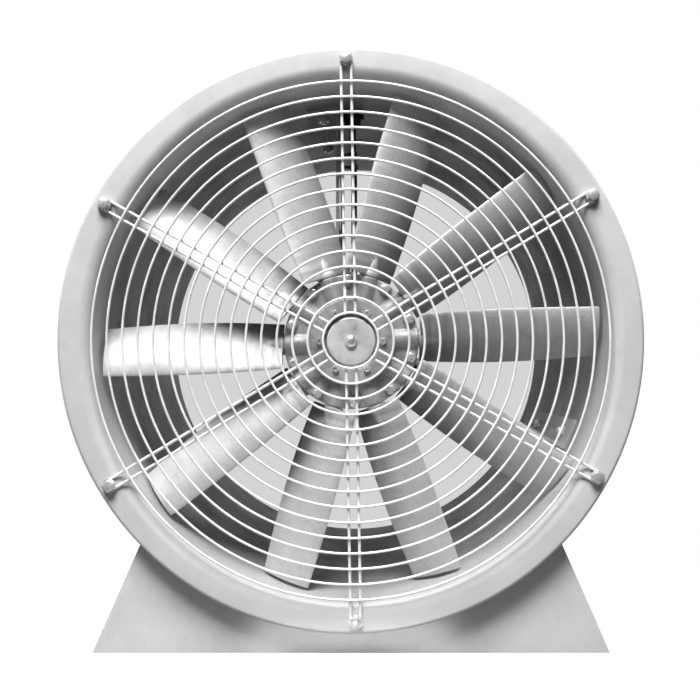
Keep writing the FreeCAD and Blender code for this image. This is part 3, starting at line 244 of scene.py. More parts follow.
def shader_group(name, inputs, outputs):
    """An empty shader node group with its sockets, and the graph, inputs and output node in it."""
    tree = bpy.data.node_groups.new(name, "ShaderNodeTree")
    for label, kind, default in inputs:
        socket = tree.interface.new_socket(name=label, in_out="INPUT", socket_type=kind)
        if default is not None:
            socket.default_value = default
    for label, kind in outputs:
        tree.interface.new_socket(name=label, in_out="OUTPUT", socket_type=kind)
    graph = Graph(tree)
    return tree, graph, graph.add("NodeGroupInput").outputs, graph.add("NodeGroupOutput")


VECTOR = "NodeSocketVector"
FLOAT = "NodeSocketFloat"
COLOUR = "NodeSocketColor"


def make_mottle():
    """Cloudy colour and a fine orange-peel height, for paint and zinc."""
    tree, graph, given, out = shader_group(
        "mottle",
        [("Vector", VECTOR, None), ("Colour", COLOUR, None), ("Scale", FLOAT, 14.0),
         ("Amount", FLOAT, 0.1), ("Peel", FLOAT, 500.0)],
        [("Colour", COLOUR), ("Height", FLOAT), ("Mask", FLOAT)])
    cloud = graph.noise(given["Vector"], given["Scale"], 5.0, 0.6)
    fine = graph.noise(given["Vector"], graph.times(given["Scale"], 9.0), 3.0)
    both = graph.plus(graph.times(cloud, 0.7), graph.times(fine, 0.3))
    mask = graph.ramp(both, 0.32, 0.68)
    spread = graph.times(graph.math("SUBTRACT", mask, 0.5), given["Amount"])
    factor = graph.plus(spread, 1.0)
    scaled = graph.add("ShaderNodeVectorMath", {"operation": "SCALE"}, in0=given["Colour"], Scale=factor)
    graph.give(out.inputs["Colour"], scaled.outputs[0])
    graph.give(out.inputs["Height"], graph.noise(given["Vector"], given["Peel"], 2.0))
    graph.give(out.inputs["Mask"], mask)
    return tree


def make_grain():
    """Brushed lines: noise drawn out along one direction by the scale it is read at."""
    tree, graph, given, out = shader_group(
        "grain",
        [("Vector", VECTOR, None), ("Stretch", VECTOR, None), ("Amount", FLOAT, 1.0)],
        [("Height", FLOAT), ("Streak", FLOAT)])
    drawn = graph.vector("MULTIPLY", given["Vector"], given["Stretch"]).outputs[0]
    lines = graph.noise(drawn, 1.0, 6.0, 0.7)
    broad = graph.noise(graph.vector("MULTIPLY", drawn, (0.25, 0.25, 0.25)).outputs[0], 1.0, 2.0)
    graph.give(out.inputs["Height"], graph.times(lines, given["Amount"]))
    graph.give(out.inputs["Streak"], graph.ramp(graph.plus(lines, broad), 0.8, 1.25))
    return tree


def make_grime():
    """Mask of dirt that lies in patches, each broken up into spots."""
    tree, graph, given, out = shader_group(
        "grime",
        [("Vector", VECTOR, None), ("Scale", FLOAT, 30.0), ("Amount", FLOAT, 0.3)],
        [("Mask", FLOAT)])
    patches = graph.noise(given["Vector"], given["Scale"], 8.0, 0.65)
    spots = graph.noise(given["Vector"], graph.times(given["Scale"], 6.0), 4.0, 0.7)
    both = graph.times(graph.ramp(patches, 0.42, 0.75), graph.ramp(spots, 0.3, 0.7))
    graph.give(out.inputs["Mask"], graph.math("MULTIPLY", both, given["Amount"], clamp=True))
    return tree


def make_wear():
    """Mask of rubbed edges, broken up by noise."""
    tree, graph, given, out = shader_group(
        "edge_wear",
        [("Vector", VECTOR, None), ("Scale", FLOAT, 180.0), ("Amount", FLOAT, 0.5)],
        [("Mask", FLOAT)])
    pointed = graph.add("ShaderNodeNewGeometry").outputs["Pointiness"]
    edge = graph.ramp(pointed, 0.52, 0.6)
    broken = graph.ramp(graph.noise(given["Vector"], given["Scale"], 4.0), 0.4, 0.62)
    both = graph.times(edge, broken)
    graph.give(out.inputs["Mask"], graph.math("MULTIPLY", both, given["Amount"], clamp=True))
    return tree


GROUPS = {}


class Finish:
    """A material under construction: a Principled shader and the coordinates that feed it."""

    def __init__(self, name, metallic, specular=0.5):
        self.material = bpy.data.materials.new(name)
        self.material.use_nodes = True
        self.graph = Graph(self.material.node_tree)
        self.shader = self.material.node_tree.nodes["Principled BSDF"]
        self.shader.inputs["Metallic"].default_value = metallic
        self.shader.inputs["Specular IOR Level"].default_value = specular
        self.coordinates = self.graph.add("ShaderNodeTexCoord")
        self.where = self.coordinates.outputs["Object"]

    def group(self, name, **inputs):
        node = self.graph.add("ShaderNodeGroup", {"node_tree": GROUPS[name]})
        for key, value in inputs.items():
            self.graph.give(node.inputs[key], value)
        return node.outputs

    def mottle(self, base, scale, amount, **more):
        """Cloudy colour about a base: its colour, height and mask."""
        return self.group("mottle", Vector=self.where, Colour=rgba(base), Scale=scale, Amount=amount, **more)

    def soil(self, clean, dirt, scale, amount):
        """A colour with patches of dirt over it."""
        mask = self.group("grime", Vector=self.where, Scale=scale, Amount=amount)["Mask"]
        return self.graph.mix(mask, clean, dirt)

    def rub(self, unworn, bare, amount):
        """A colour with the edges rubbed bare."""
        mask = self.group("edge_wear", Vector=self.where, Amount=amount)["Mask"]
        return self.graph.mix(mask, unworn, bare)

    def put(self, name, value):
        self.graph.give(self.shader.inputs[name], value)

    def roughen(self, mask, low, high):
        """Roughness that runs from low to high with a mask."""
        self.put("Roughness", self.graph.ramp(mask, 0, 1, low, high))

    def bump(self, height, strength, distance=0.0004):
        node = self.graph.add("ShaderNodeBump", Height=height, Strength=strength, Distance=distance)
        self.put("Normal", node.outputs[0])

    def striped(self, stripes, dark, light, scale, rough, bump):
        """Ends a material whose colour and height follow stripes from -1 to 1."""
        graph = self.graph
        self.put("Base Color", graph.mix(graph.ramp(stripes, -1, 1), rgba(dark), rgba(light)))
        self.put("Roughness", graph.ramp(graph.noise(self.where, scale), 0.3, 0.7, *rough))
        self.bump(stripes, *bump)
        return self.material

    def from_axis(self):
        """Distance of a point from the fan's axis."""
        offset = self.graph.vector("SUBTRACT", self.where, tuple(AXIS)).outputs[0]
        flat = self.graph.vector("MULTIPLY", offset, (1, 0, 1)).outputs[0]
        return self.graph.vector("LENGTH", flat).outputs["Value"]

    def split(self):
        return self.graph.add("ShaderNodeSeparateXYZ", Vector=self.where).outputs


def rgba(values, share=1.0):
    """A colour with its alpha, made darker or lighter by a share."""
    return (*(min(1, value * share) for value in values), 1.0)


def paint_finish(name, base, roughness=0.42, amount=0.1, dirt=0.16):
    """Satin paint, slightly clouded, with faint grime and rubbed edges."""
    finish = Finish(name, 0.0, 0.45)
    mottle = finish.mottle(base, 11.0, amount)
    dirty = finish.soil(mottle["Colour"], rgba(base, 0.55), 17.0, dirt)
    finish.put("Base Color", finish.rub(dirty, rgba(base, 1.25), 0.35))
    finish.roughen(mottle["Mask"], roughness - 0.06, roughness + 0.1)
    finish.bump(mottle["Height"], 0.12, 0.0003)
    return finish


def casing_finish(settings):
    """The casing's paint, with painted shade on the wall inside that darkens from just behind the bell mouth
    inwards, broken up by noise.
    """
    finish = paint_finish("casing_paint", settings.paint)
    graph = finish.graph
    painted = finish.shader.inputs["Base Color"].links[0].from_socket
    # Painted shade inside the duct: the inside wall is mixed towards a dark grey deeper in, with a streaky
    # noise.
    inside = graph.ramp(finish.from_axis(), SHELL_RADIUS - 0.0012, SHELL_RADIUS - 0.0022)
    along = finish.split()
    ragged = graph.times(graph.noise(finish.where, 9.0, 4.0), 0.06)
    depth = graph.ramp(graph.plus(along["Y"], ragged), RING_FACE + 0.055, RING_FACE + 0.15)
    shade_streaks = graph.ramp(graph.noise(finish.where, 22.0, 6.0, 0.65), 0.3, 0.72, 0.78, 1.0)
    mask = graph.times(graph.times(inside, depth), shade_streaks)
    finish.put("Base Color", graph.mix(mask, painted, rgba(settings.duct_shade)))
    return finish.material


def zinc_finish(name, base, roughness=0.3, metallic=0.75):
    """Bright zinc plate with a cloudy tone and a few dull spots."""
    finish = Finish(name, metallic)
    mottle = finish.mottle(base, 60.0, 0.16)
    finish.put("Base Color", finish.soil(mottle["Colour"], rgba(base, 0.5), 90.0, 0.4))
    finish.roughen(mottle["Mask"], roughness - 0.08, roughness + 0.12)
    finish.bump(mottle["Height"], 0.1, 0.0002)
    return finish.material


def blade_finish(settings):
    """Cast and linished aluminium: fine lines along the chord, rougher towards the root, with painted shade
    there.
    """
    finish = Finish("blade_metal", 0.3)
    graph = finish.graph
    surface = graph.add("ShaderNodeUVMap", {"uv_map": "surface"}).outputs[0]
    lines = finish.group("grain", Vector=surface, Stretch=(26.0, 1500.0, 1.0), Amount=1.0)
    coarse = finish.group("grain", Vector=surface, Stretch=(9.0, 160.0, 1.0), Amount=1.0)
    mottle = finish.mottle(settings.metal, 24.0, 0.16)
    span = graph.add("ShaderNodeSeparateXYZ", Vector=surface).outputs["Y"]
    # Painted shade: towards the root the colour is mixed darker along the coarse grain; further out only faint
    # grain is left.
    root = graph.ramp(span, settings.root + 0.09, settings.root)
    streak = graph.times(coarse["Streak"], graph.plus(graph.times(root, 0.55), 0.14))
    root_shaded = graph.mix(streak, mottle["Colour"], rgba(settings.metal, 0.5))
    finish.put("Base Color", finish.soil(root_shaded, rgba(settings.metal, 0.42), 40.0, 0.45))
    rough = graph.plus(graph.times(lines["Streak"], 0.16), 0.42)
    finish.put("Roughness", graph.plus(rough, graph.times(root, 0.1)))
    finish.bump(lines["Height"], 0.16, 0.00025)
    return finish.material


def casting_finish():
    """Sand-cast aluminium: pitted skin with patches of dirt, painted shade in the hollows and scratched flats.
    """
    finish = Finish("casting", 0.45)
    graph = finish.graph
    mottle = finish.mottle((0.38, 0.38, 0.38), 70.0, 0.3, Peel=900.0)
    dirty = finish.soil(mottle["Colour"], rgba((0.1, 0.1, 0.1)), 75.0, 0.9)
    pointed = graph.add("ShaderNodeNewGeometry").outputs["Pointiness"]
    # Painted shade: concave places, found by pointiness, are darkened nearly to black.
    hollow_shade = graph.ramp(pointed, 0.5, 0.42)
    hollows_shaded = graph.mix(graph.times(hollow_shade, 0.8), dirty, rgba((0.05, 0.05, 0.05)))
    finish.put("Base Color", finish.rub(hollows_shaded, rgba((0.85, 0.85, 0.86)), 0.8))
    scratches = finish.group("grain", Vector=finish.where, Stretch=(420.0, 60.0, 90.0), Amount=1.0)
    finish.roughen(scratches["Streak"], 0.46, 0.64)
    height = graph.plus(graph.times(mottle["Height"], 0.6), scratches["Height"])
    finish.bump(height, 0.35, 0.0006)
    return finish.material


def turned_finish(name, base, roughness=0.28, metallic=0.85):
    """Turned steel: fine rings about the fan's axis."""
    finish = Finish(name, metallic)
    graph = finish.graph
    distance = finish.from_axis()
    rings = graph.noise(graph.add("ShaderNodeCombineXYZ", X=distance).outputs[0], 2400.0, 2.0)
    mottle = finish.mottle(base, 50.0, 0.22)
    finish.put("Base Color", finish.soil(mottle["Colour"], rgba(base, 0.4), 60.0, 0.5))
    finish.roughen(mottle["Mask"], roughness - 0.05, roughness + 0.12)
    finish.bump(rings, 0.25, 0.0002)
    return finish.material


def soft_finish(name, base, roughness):
    """Rubber or moulded plastic with a fine texture and dust."""
    finish = Finish(name, 0.0, 0.4)
    mottle = finish.mottle(base, 40.0, 0.3, Peel=1600.0)
    finish.put("Base Color", finish.soil(mottle["Colour"], rgba((0.25, 0.25, 0.24)), 55.0, 0.35))
    finish.roughen(mottle["Mask"], roughness - 0.05, roughness + 0.1)
    finish.bump(mottle["Height"], 0.2, 0.0002)
    return finish.material


def laminated_finish():
    """Stack of thin sheets seen on edge along the fan's axis."""
    finish = Finish("core_steel", 0.6)
    sheets = finish.graph.math("SINE", finish.graph.times(finish.split()["Y"], 12000.0))
    return finish.striped(sheets, (0.1, 0.1, 0.11), (0.3, 0.3, 0.32), 90.0, (0.4, 0.6), (0.3, 0.0002))


def winding_finish():
    """Varnished copper wire laid round the stator."""
    finish = Finish("copper_windings", 0.4)
    wires = finish.graph.math("SINE", finish.graph.times(finish.from_axis(), 9000.0))
    return finish.striped(wires, (0.2, 0.06, 0.02), (0.5, 0.2, 0.07), 120.0, (0.25, 0.45), (0.5, 0.0005))


def make_materials(scene):
    """Every finish, by the record's slot name."""
    GROUPS.update(mottle=make_mottle(), grain=make_grain(), grime=make_grime(), edge_wear=make_wear())
    return {
        "casing_paint": casing_finish(scene.fan_casing),
        "casting": casting_finish(),
        "blade_metal": blade_finish(scene.fan_blades),
        "guard_zinc": zinc_finish("guard_zinc", scene.fan_guard.zinc, 0.4, 0.3),
        "bolt_zinc": zinc_finish("bolt_zinc", (0.88, 0.88, 0.87), 0.24, 0.7),
        "arm_paint": paint_finish("arm_paint", (0.33, 0.33, 0.33), 0.5, 0.2, 0.4).material,
        "motor_paint": paint_finish("motor_paint", (0.12, 0.125, 0.13), 0.45, 0.2, 0.4).material,
        "shaft_steel": turned_finish("shaft_steel", (0.72, 0.72, 0.73), 0.4, 0.25),
        "core_steel": laminated_finish(),
        "copper_windings": winding_finish(),
        "bearing_steel": turned_finish("bearing_steel", (0.7, 0.7, 0.72), 0.16),
        "black_rubber": soft_finish("black_rubber", (0.018, 0.018, 0.018), 0.6),
        "black_plastic": soft_finish("black_plastic", (0.025, 0.025, 0.026), 0.42),
        "stud_brass": turned_finish("stud_brass", (0.72, 0.52, 0.22), 0.3),
    }


MATERIALS = {}


# ---------------------------------------------------------------------------------------------
# Mesh helpers


def object_from(name, mesh):
    piece = bpy.data.objects.new(name, mesh)
    bpy.context.scene.collection.objects.link(piece)
    return piece


def from_bmesh(name, geometry, smooth=True):
    geometry.normal_update()
    mesh = bpy.data.meshes.new(name)
    geometry.to_mesh(mesh)
    geometry.free()
    for face in mesh.polygons:
        face.use_smooth = smooth
    return object_from(name, mesh)


def settle(piece):
    """The piece with its modifiers worked into a plain mesh."""
    bpy.context.view_layer.update()
    evaluated = piece.evaluated_get(bpy.context.evaluated_depsgraph_get())
    mesh = bpy.data.meshes.new_from_object(evaluated)
    name = piece.name
    old = piece.data
    bpy.data.objects.remove(piece)
    bpy.data.meshes.remove(old)
    mesh.name = name
    return object_from(name, mesh)


def fit(piece, node, body, others=()):
    """Gives a finished piece the material of the node's slot and its body, and hides the CAD nodes it stands in
    for.
    """
    slot = SLOTS[node]
    piece.data.materials.clear()
    piece.data.materials.append(MATERIALS[slot])
    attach(piece, body)
    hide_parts(node, *others)
    return piece


def add_on(piece, slot, body):
    """A piece of its own, which stands for no CAD node."""
    piece.data.materials.clear()
    piece.data.materials.append(MATERIALS[slot])
    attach(piece, body)
    return piece


def sharpen(mesh, degrees=35):
    """Smooth shading with creases where faces meet at more than the angle."""
    for face in mesh.polygons:
        face.use_smooth = True
    mesh.set_sharp_from_angle(angle=math.radians(degrees))


def merged_copy(node, name):
    """The CAD node's mesh with its loose triangles joined and its flats made whole."""
    geometry = bmesh.new()
    geometry.from_mesh(frame["nodes"][node].data)
    bmesh.ops.remove_doubles(geometry, verts=geometry.verts, dist=1e-6)
    bmesh.ops.dissolve_limit(geometry, angle_limit=math.radians(0.5), verts=geometry.verts,
                             edges=geometry.edges)
    return from_bmesh(name, geometry)


def eased(node, edge):
    """The CAD node with its edges eased, as a piece that stands for it."""
    piece = merged_copy(node, f"{node}_eased")
    bevel = piece.modifiers.new("edges", "BEVEL")
    bevel.width = edge
    bevel.segments = 2
    bevel.limit_method = "ANGLE"
    bevel.angle_limit = math.radians(40)
    bevel.use_clamp_overlap = True
    piece = settle(piece)
    sharpen(piece.data, 50)
    return fit(piece, node, frame["nodes"][node]["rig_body"])


def ease_all(edges):
    """Eases the edges of the named CAD nodes, each by its own width in metres."""
    for node, edge in edges.items():
        eased(node, edge)


def radial(angle):
    """The direction straight out from an axis along Y, at an angle from the right and upwards."""
    return Vector((math.cos(angle), 0, math.sin(angle)))


def stitch(geometry, rows, closed=False, ends=False):
    """Adds the faces between neighbouring rows of corners, each row a closed loop."""
    for here, there in zip(rows, rows[1:] + rows[:1] if closed else rows[1:]):
        for index in range(len(here)):
            after = (index + 1) % len(here)
            geometry.faces.new((here[index], here[after], there[after], there[index]))
    if ends:
        geometry.faces.new(rows[0])
        geometry.faces.new(list(reversed(rows[-1])))


def spin(geometry, outline, steps, centre=AXIS):
    """Adds the closed surface that an outline of (radius, y) sweeps round an axis along Y."""
    rings = []
    for index in range(steps):
        across = radial(2 * math.pi * index / steps)
        rings.append([geometry.verts.new(centre + across * radius + Vector((0, y, 0)))
                      for radius, y in outline])
    stitch(geometry, rings, closed=True)


def arc(centre, radius, start, end, count):
    """Points of an arc, (radius, y), from one direction to another in degrees."""
    points = []
    for index in range(count + 1):
        angle = math.radians(start + (end - start) * index / count)
        points.append((centre[0] + radius * math.cos(angle), centre[1] + radius * math.sin(angle)))
    return points


def outwards(geometry):
    bmesh.ops.recalc_face_normals(geometry, faces=geometry.faces)
    return geometry


# ---------------------------------------------------------------------------------------------
# Geometry Nodes


def geometry_tree(name, inputs):
    """An empty Geometry Nodes tree with a geometry in and out and the named inputs."""
    tree = bpy.data.node_groups.new(name, "GeometryNodeTree")
    tree.interface.new_socket(name="Geometry", in_out="INPUT", socket_type="NodeSocketGeometry")
    for label, kind, default in inputs:
        socket = tree.interface.new_socket(name=label, in_out="INPUT", socket_type=kind)
        if default is not None:
            socket.default_value = default
    tree.interface.new_socket(name="Geometry", in_out="OUTPUT", socket_type="NodeSocketGeometry")
    graph = Graph(tree)
    return tree, graph, graph.add("NodeGroupInput").outputs, graph.add("NodeGroupOutput")


def finish_tree(graph, out, geometry, material):
    """Ends a tree: realized, with its material."""
    real = graph.add("GeometryNodeRealizeInstances", Geometry=geometry).outputs[0]
    painted = graph.add("GeometryNodeSetMaterial", Geometry=real, Material=material).outputs[0]
    graph.give(out.inputs["Geometry"], painted)


INTEGER = "NodeSocketInt"
MATERIAL = "NodeSocketMaterial"


def round_copies(graph, geometry, count, turn):
    """Copies of a geometry round the fan's axis, the first one turned by an angle."""
    instance = graph.add("GeometryNodeGeometryToInstance", Geometry=geometry).outputs[0]
    copies = graph.add("GeometryNodeDuplicateElements", {"domain": "INSTANCE"},
                       Geometry=instance, Amount=count)
    step = graph.math("DIVIDE", 2 * math.pi, count)
    angle = graph.math("MULTIPLY_ADD", copies.outputs["Duplicate Index"], step, turn)
    rotation = graph.add("ShaderNodeCombineXYZ", Y=graph.times(angle, -1.0)).outputs[0]
    turned = graph.add("GeometryNodeRotateInstances", Instances=copies.outputs[0], Rotation=rotation,
                       Pivot_Point=tuple(AXIS), Local_Space=False)
    return turned.outputs[0]


def wire_along(graph, curve, sides, radius, caps=False):
    """Round wire along a curve."""
    profile = graph.add("GeometryNodeCurvePrimitiveCircle", Resolution=sides, Radius=radius).outputs[0]
    wire = graph.add("GeometryNodeCurveToMesh", Curve=curve, Profile_Curve=profile, Fill_Caps=caps)
    return graph.add("GeometryNodeSetShadeSmooth", Geometry=wire.outputs[0]).outputs[0]


def make_ring_array():
    """Repeats the object's own mesh round the fan's axis."""
    tree, graph, given, out = geometry_tree(
        "ring_array", [("Count", INTEGER, 6), ("Turn", FLOAT, 0.0), ("Material", MATERIAL, None)])
    copies = round_copies(graph, given["Geometry"], given["Count"], given["Turn"])
    finish_tree(graph, out, copies, given["Material"])
    return tree


def make_wire_rings():
    """Concentric rings of round wire in front of the casing."""
    tree, graph, given, out = geometry_tree(
        "wire_rings",
        [("Count", INTEGER, 16), ("First Radius", FLOAT, 0.03), ("Pitch", FLOAT, 0.02),
         ("Wire Radius", FLOAT, 0.0015), ("Place", FLOAT, 0.0), ("Material", MATERIAL, None)])
    centre = graph.add("ShaderNodeCombineXYZ", X=AXIS.x, Y=given["Place"], Z=AXIS.z).outputs[0]
    points = graph.add("GeometryNodeMeshLine", Count=given["Count"], Start_Location=centre, Offset=(0, 0, 0))
    circle = graph.add("GeometryNodeCurvePrimitiveCircle", Resolution=160, Radius=1.0).outputs[0]
    index = graph.add("GeometryNodeInputIndex").outputs[0]
    radius = graph.math("MULTIPLY_ADD", index, given["Pitch"], given["First Radius"])
    upright = graph.add("FunctionNodeEulerToRotation", Euler=(math.pi / 2, 0, 0)).outputs[0]
    scale = graph.add("ShaderNodeCombineXYZ", X=radius, Y=radius, Z=radius).outputs[0]
    rings = graph.add("GeometryNodeInstanceOnPoints", Points=points.outputs[0], Instance=circle,
                      Rotation=upright, Scale=scale).outputs[0]
    curves = graph.add("GeometryNodeRealizeInstances", Geometry=rings).outputs[0]
    wires = wire_along(graph, curves, 10, given["Wire Radius"])
    finish_tree(graph, out, wires, given["Material"])
    return tree


def make_wire_spokes():
    """Turns the object's open polyline into round wire, repeated round the fan's axis."""
    tree, graph, given, out = geometry_tree(
        "wire_spokes",
        [("Count", INTEGER, 6), ("Turn", FLOAT, 0.0), ("Wire Radius", FLOAT, 0.00175),
         ("Material", MATERIAL, None)])
    curve = graph.add("GeometryNodeMeshToCurve", Mesh=given["Geometry"]).outputs[0]
    wire = wire_along(graph, curve, 12, given["Wire Radius"], caps=True)
    copies = round_copies(graph, wire, given["Count"], given["Turn"])
    finish_tree(graph, out, copies, given["Material"])
    return tree


def make_spot_welds():
    """A small flat nugget on each of the object's points, repeated round the fan's axis."""
    tree, graph, given, out = geometry_tree(
        "spot_welds",
        [("Count", INTEGER, 6), ("Turn", FLOAT, 0.0), ("Width", FLOAT, 0.004), ("Seed", INTEGER, 3),
         ("Material", MATERIAL, None)])
    ball = graph.add("GeometryNodeMeshUVSphere", Segments=8, Rings=6, Radius=0.5).outputs[0]
    random = graph.add("FunctionNodeRandomValue", {"data_type": "FLOAT"},
                       in2=0.8, in3=1.1, Seed=given["Seed"])
    width = graph.times(random.outputs[1], given["Width"])
    scale = graph.add("ShaderNodeCombineXYZ", X=width, Y=graph.times(width, 0.55), Z=width).outputs[0]
    nuggets = graph.add("GeometryNodeInstanceOnPoints", Points=given["Geometry"], Instance=ball, Scale=scale)
    real = graph.add("GeometryNodeRealizeInstances", Geometry=nuggets.outputs[0]).outputs[0]
    smooth = graph.add("GeometryNodeSetShadeSmooth", Geometry=real).outputs[0]
    copies = round_copies(graph, smooth, given["Count"], given["Turn"])
    finish_tree(graph, out, copies, given["Material"])
    return tree


TREES = {}


def grow(piece, tree, **inputs):
    """Runs a Geometry Nodes tree on a piece and keeps the result as a plain mesh."""
    modifier = piece.modifiers.new(tree, "NODES")
    modifier.node_group = TREES[tree]
    for item in TREES[tree].interface.items_tree:
        key = item.name.replace(" ", "_").lower()
        if item.in_out == "INPUT" and key in inputs:
            modifier[item.identifier] = inputs[key]
    return settle(piece)


# ---------------------------------------------------------------------------------------------
# Fasteners


CROWN = 0.97             # a head's chamfer circle, over its width across flats
CHAMFER = 0.55           # how far the chamfer drops for each step outwards
THREAD_PITCH = 0.0012
THREAD_DEPTH = 0.08      # over the radius
THREAD_END = 0.8         # the end's radius, over the shank's
M8 = {"flats": 0.013, "radius": 0.004, "dome": 0.0009}
M6 = {"flats": 0.010, "radius": 0.003, "dome": 0.0004}


def hexagon_reach(angle, flats):
    """Distance from a hexagon's middle to its side in a direction."""
    sector = (angle + math.pi / 6) % (math.pi / 3) - math.pi / 6
    return flats / 2 / math.cos(sector)


def hexagon_head(geometry, centre, flats, height, dome, steps=48, dome_steps=4):
    """A chamfered hexagon head facing -Y, with its seat at the centre."""
    crown = flats / 2 * CROWN
    rows = [[], [], []]
    for index in range(steps):
        angle = 2 * math.pi * index / steps
        reach = hexagon_reach(angle, flats)
        drop = (reach - crown) * CHAMFER
        across = radial(angle)
        rows[0].append(geometry.verts.new(centre + across * reach))
        rows[1].append(geometry.verts.new(centre + across * reach - Vector((0, height - drop, 0))))
        rows[2].append(geometry.verts.new(centre + across * crown - Vector((0, height, 0))))
    for level in range(1, dome_steps):
        share = 1 - level / dome_steps
        rise = Vector((0, height + dome * (1 - share * share), 0))
        row = []
        for corner in rows[2]:
            outward = corner.co - centre - Vector((0, corner.co.y - centre.y, 0))
            row.append(geometry.verts.new(centre + outward * share - rise))
        rows.append(row)
    stitch(geometry, rows)
    tip = geometry.verts.new(centre - Vector((0, height + dome, 0)))
    for index in range(steps):
        geometry.faces.new((rows[-1][index], rows[-1][(index + 1) % steps], tip))
    geometry.faces.new(list(reversed(rows[0])))


def shank(geometry, centre, radius, length, steps=20):
    """A threaded end along +Y from the centre: shallow rings that read as a thread."""
    outline = []
    turns = max(2, int(length / THREAD_PITCH))
    for index in range(turns * 2):
        outline.append((radius - (index % 2) * radius * THREAD_DEPTH, length * index / (turns * 2)))
    outline.append((radius * THREAD_END, length))
    rings = []
    for reach, along in outline:
        ring = []
        for index in range(steps):
            angle = 2 * math.pi * index / steps
            across = Vector((math.cos(angle) * reach, along, math.sin(angle) * reach))
            ring.append(geometry.verts.new(centre + across))
        rings.append(ring)
    stitch(geometry, rings, ends=True)


def bolt_form(place, size, head, length):
    """One bolt with its seat at a place, its head facing -Y and its thread along +Y."""
    bolt = bmesh.new()
    hexagon_head(bolt, place, size["flats"], head - size["dome"], size["dome"])
    shank(bolt, place, size["radius"], length)
    return bolt


def disc(geometry, centre, inner, outer, front, back, steps=40, ease=0.0003):
    """A washer with eased edges, from front to back along Y."""
    outline = [(inner, back), (inner, front), (outer - ease, front), (outer, front + ease), (outer, back)]
    spin(geometry, outline, steps, centre)


def repeated(geometry, name, node, body, count, turn):
    """Zinc-plated fasteners, one made and the rest repeated round the fan's axis, for a CAD node."""
    piece = from_bmesh(name, outwards(geometry))
    piece = grow(piece, "ring_array", count=count, turn=turn, material=MATERIALS["bolt_zinc"])
    sharpen(piece.data)
    return fit(piece, node, body)


# ---------------------------------------------------------------------------------------------
# Operators


class FanOperator(bpy.types.Operator):
    bl_options = {"REGISTER", "UNDO"}


class FAN_OT_finishes(FanOperator):
    """Builds every finish and gives each design part its own"""
    bl_idname = "fan.finishes"
    bl_label = "Finishes"

    def execute(self, context):
        MATERIALS.update(make_materials(context.scene))
        TREES.update(ring_array=make_ring_array(), wire_rings=make_wire_rings(),
                     wire_spokes=make_wire_spokes(), spot_welds=make_spot_welds())
        for node, piece in frame["nodes"].items():
            piece.data.materials.clear()
            piece.data.materials.append(MATERIALS[SLOTS[node]])
        return {"FINISHED"}


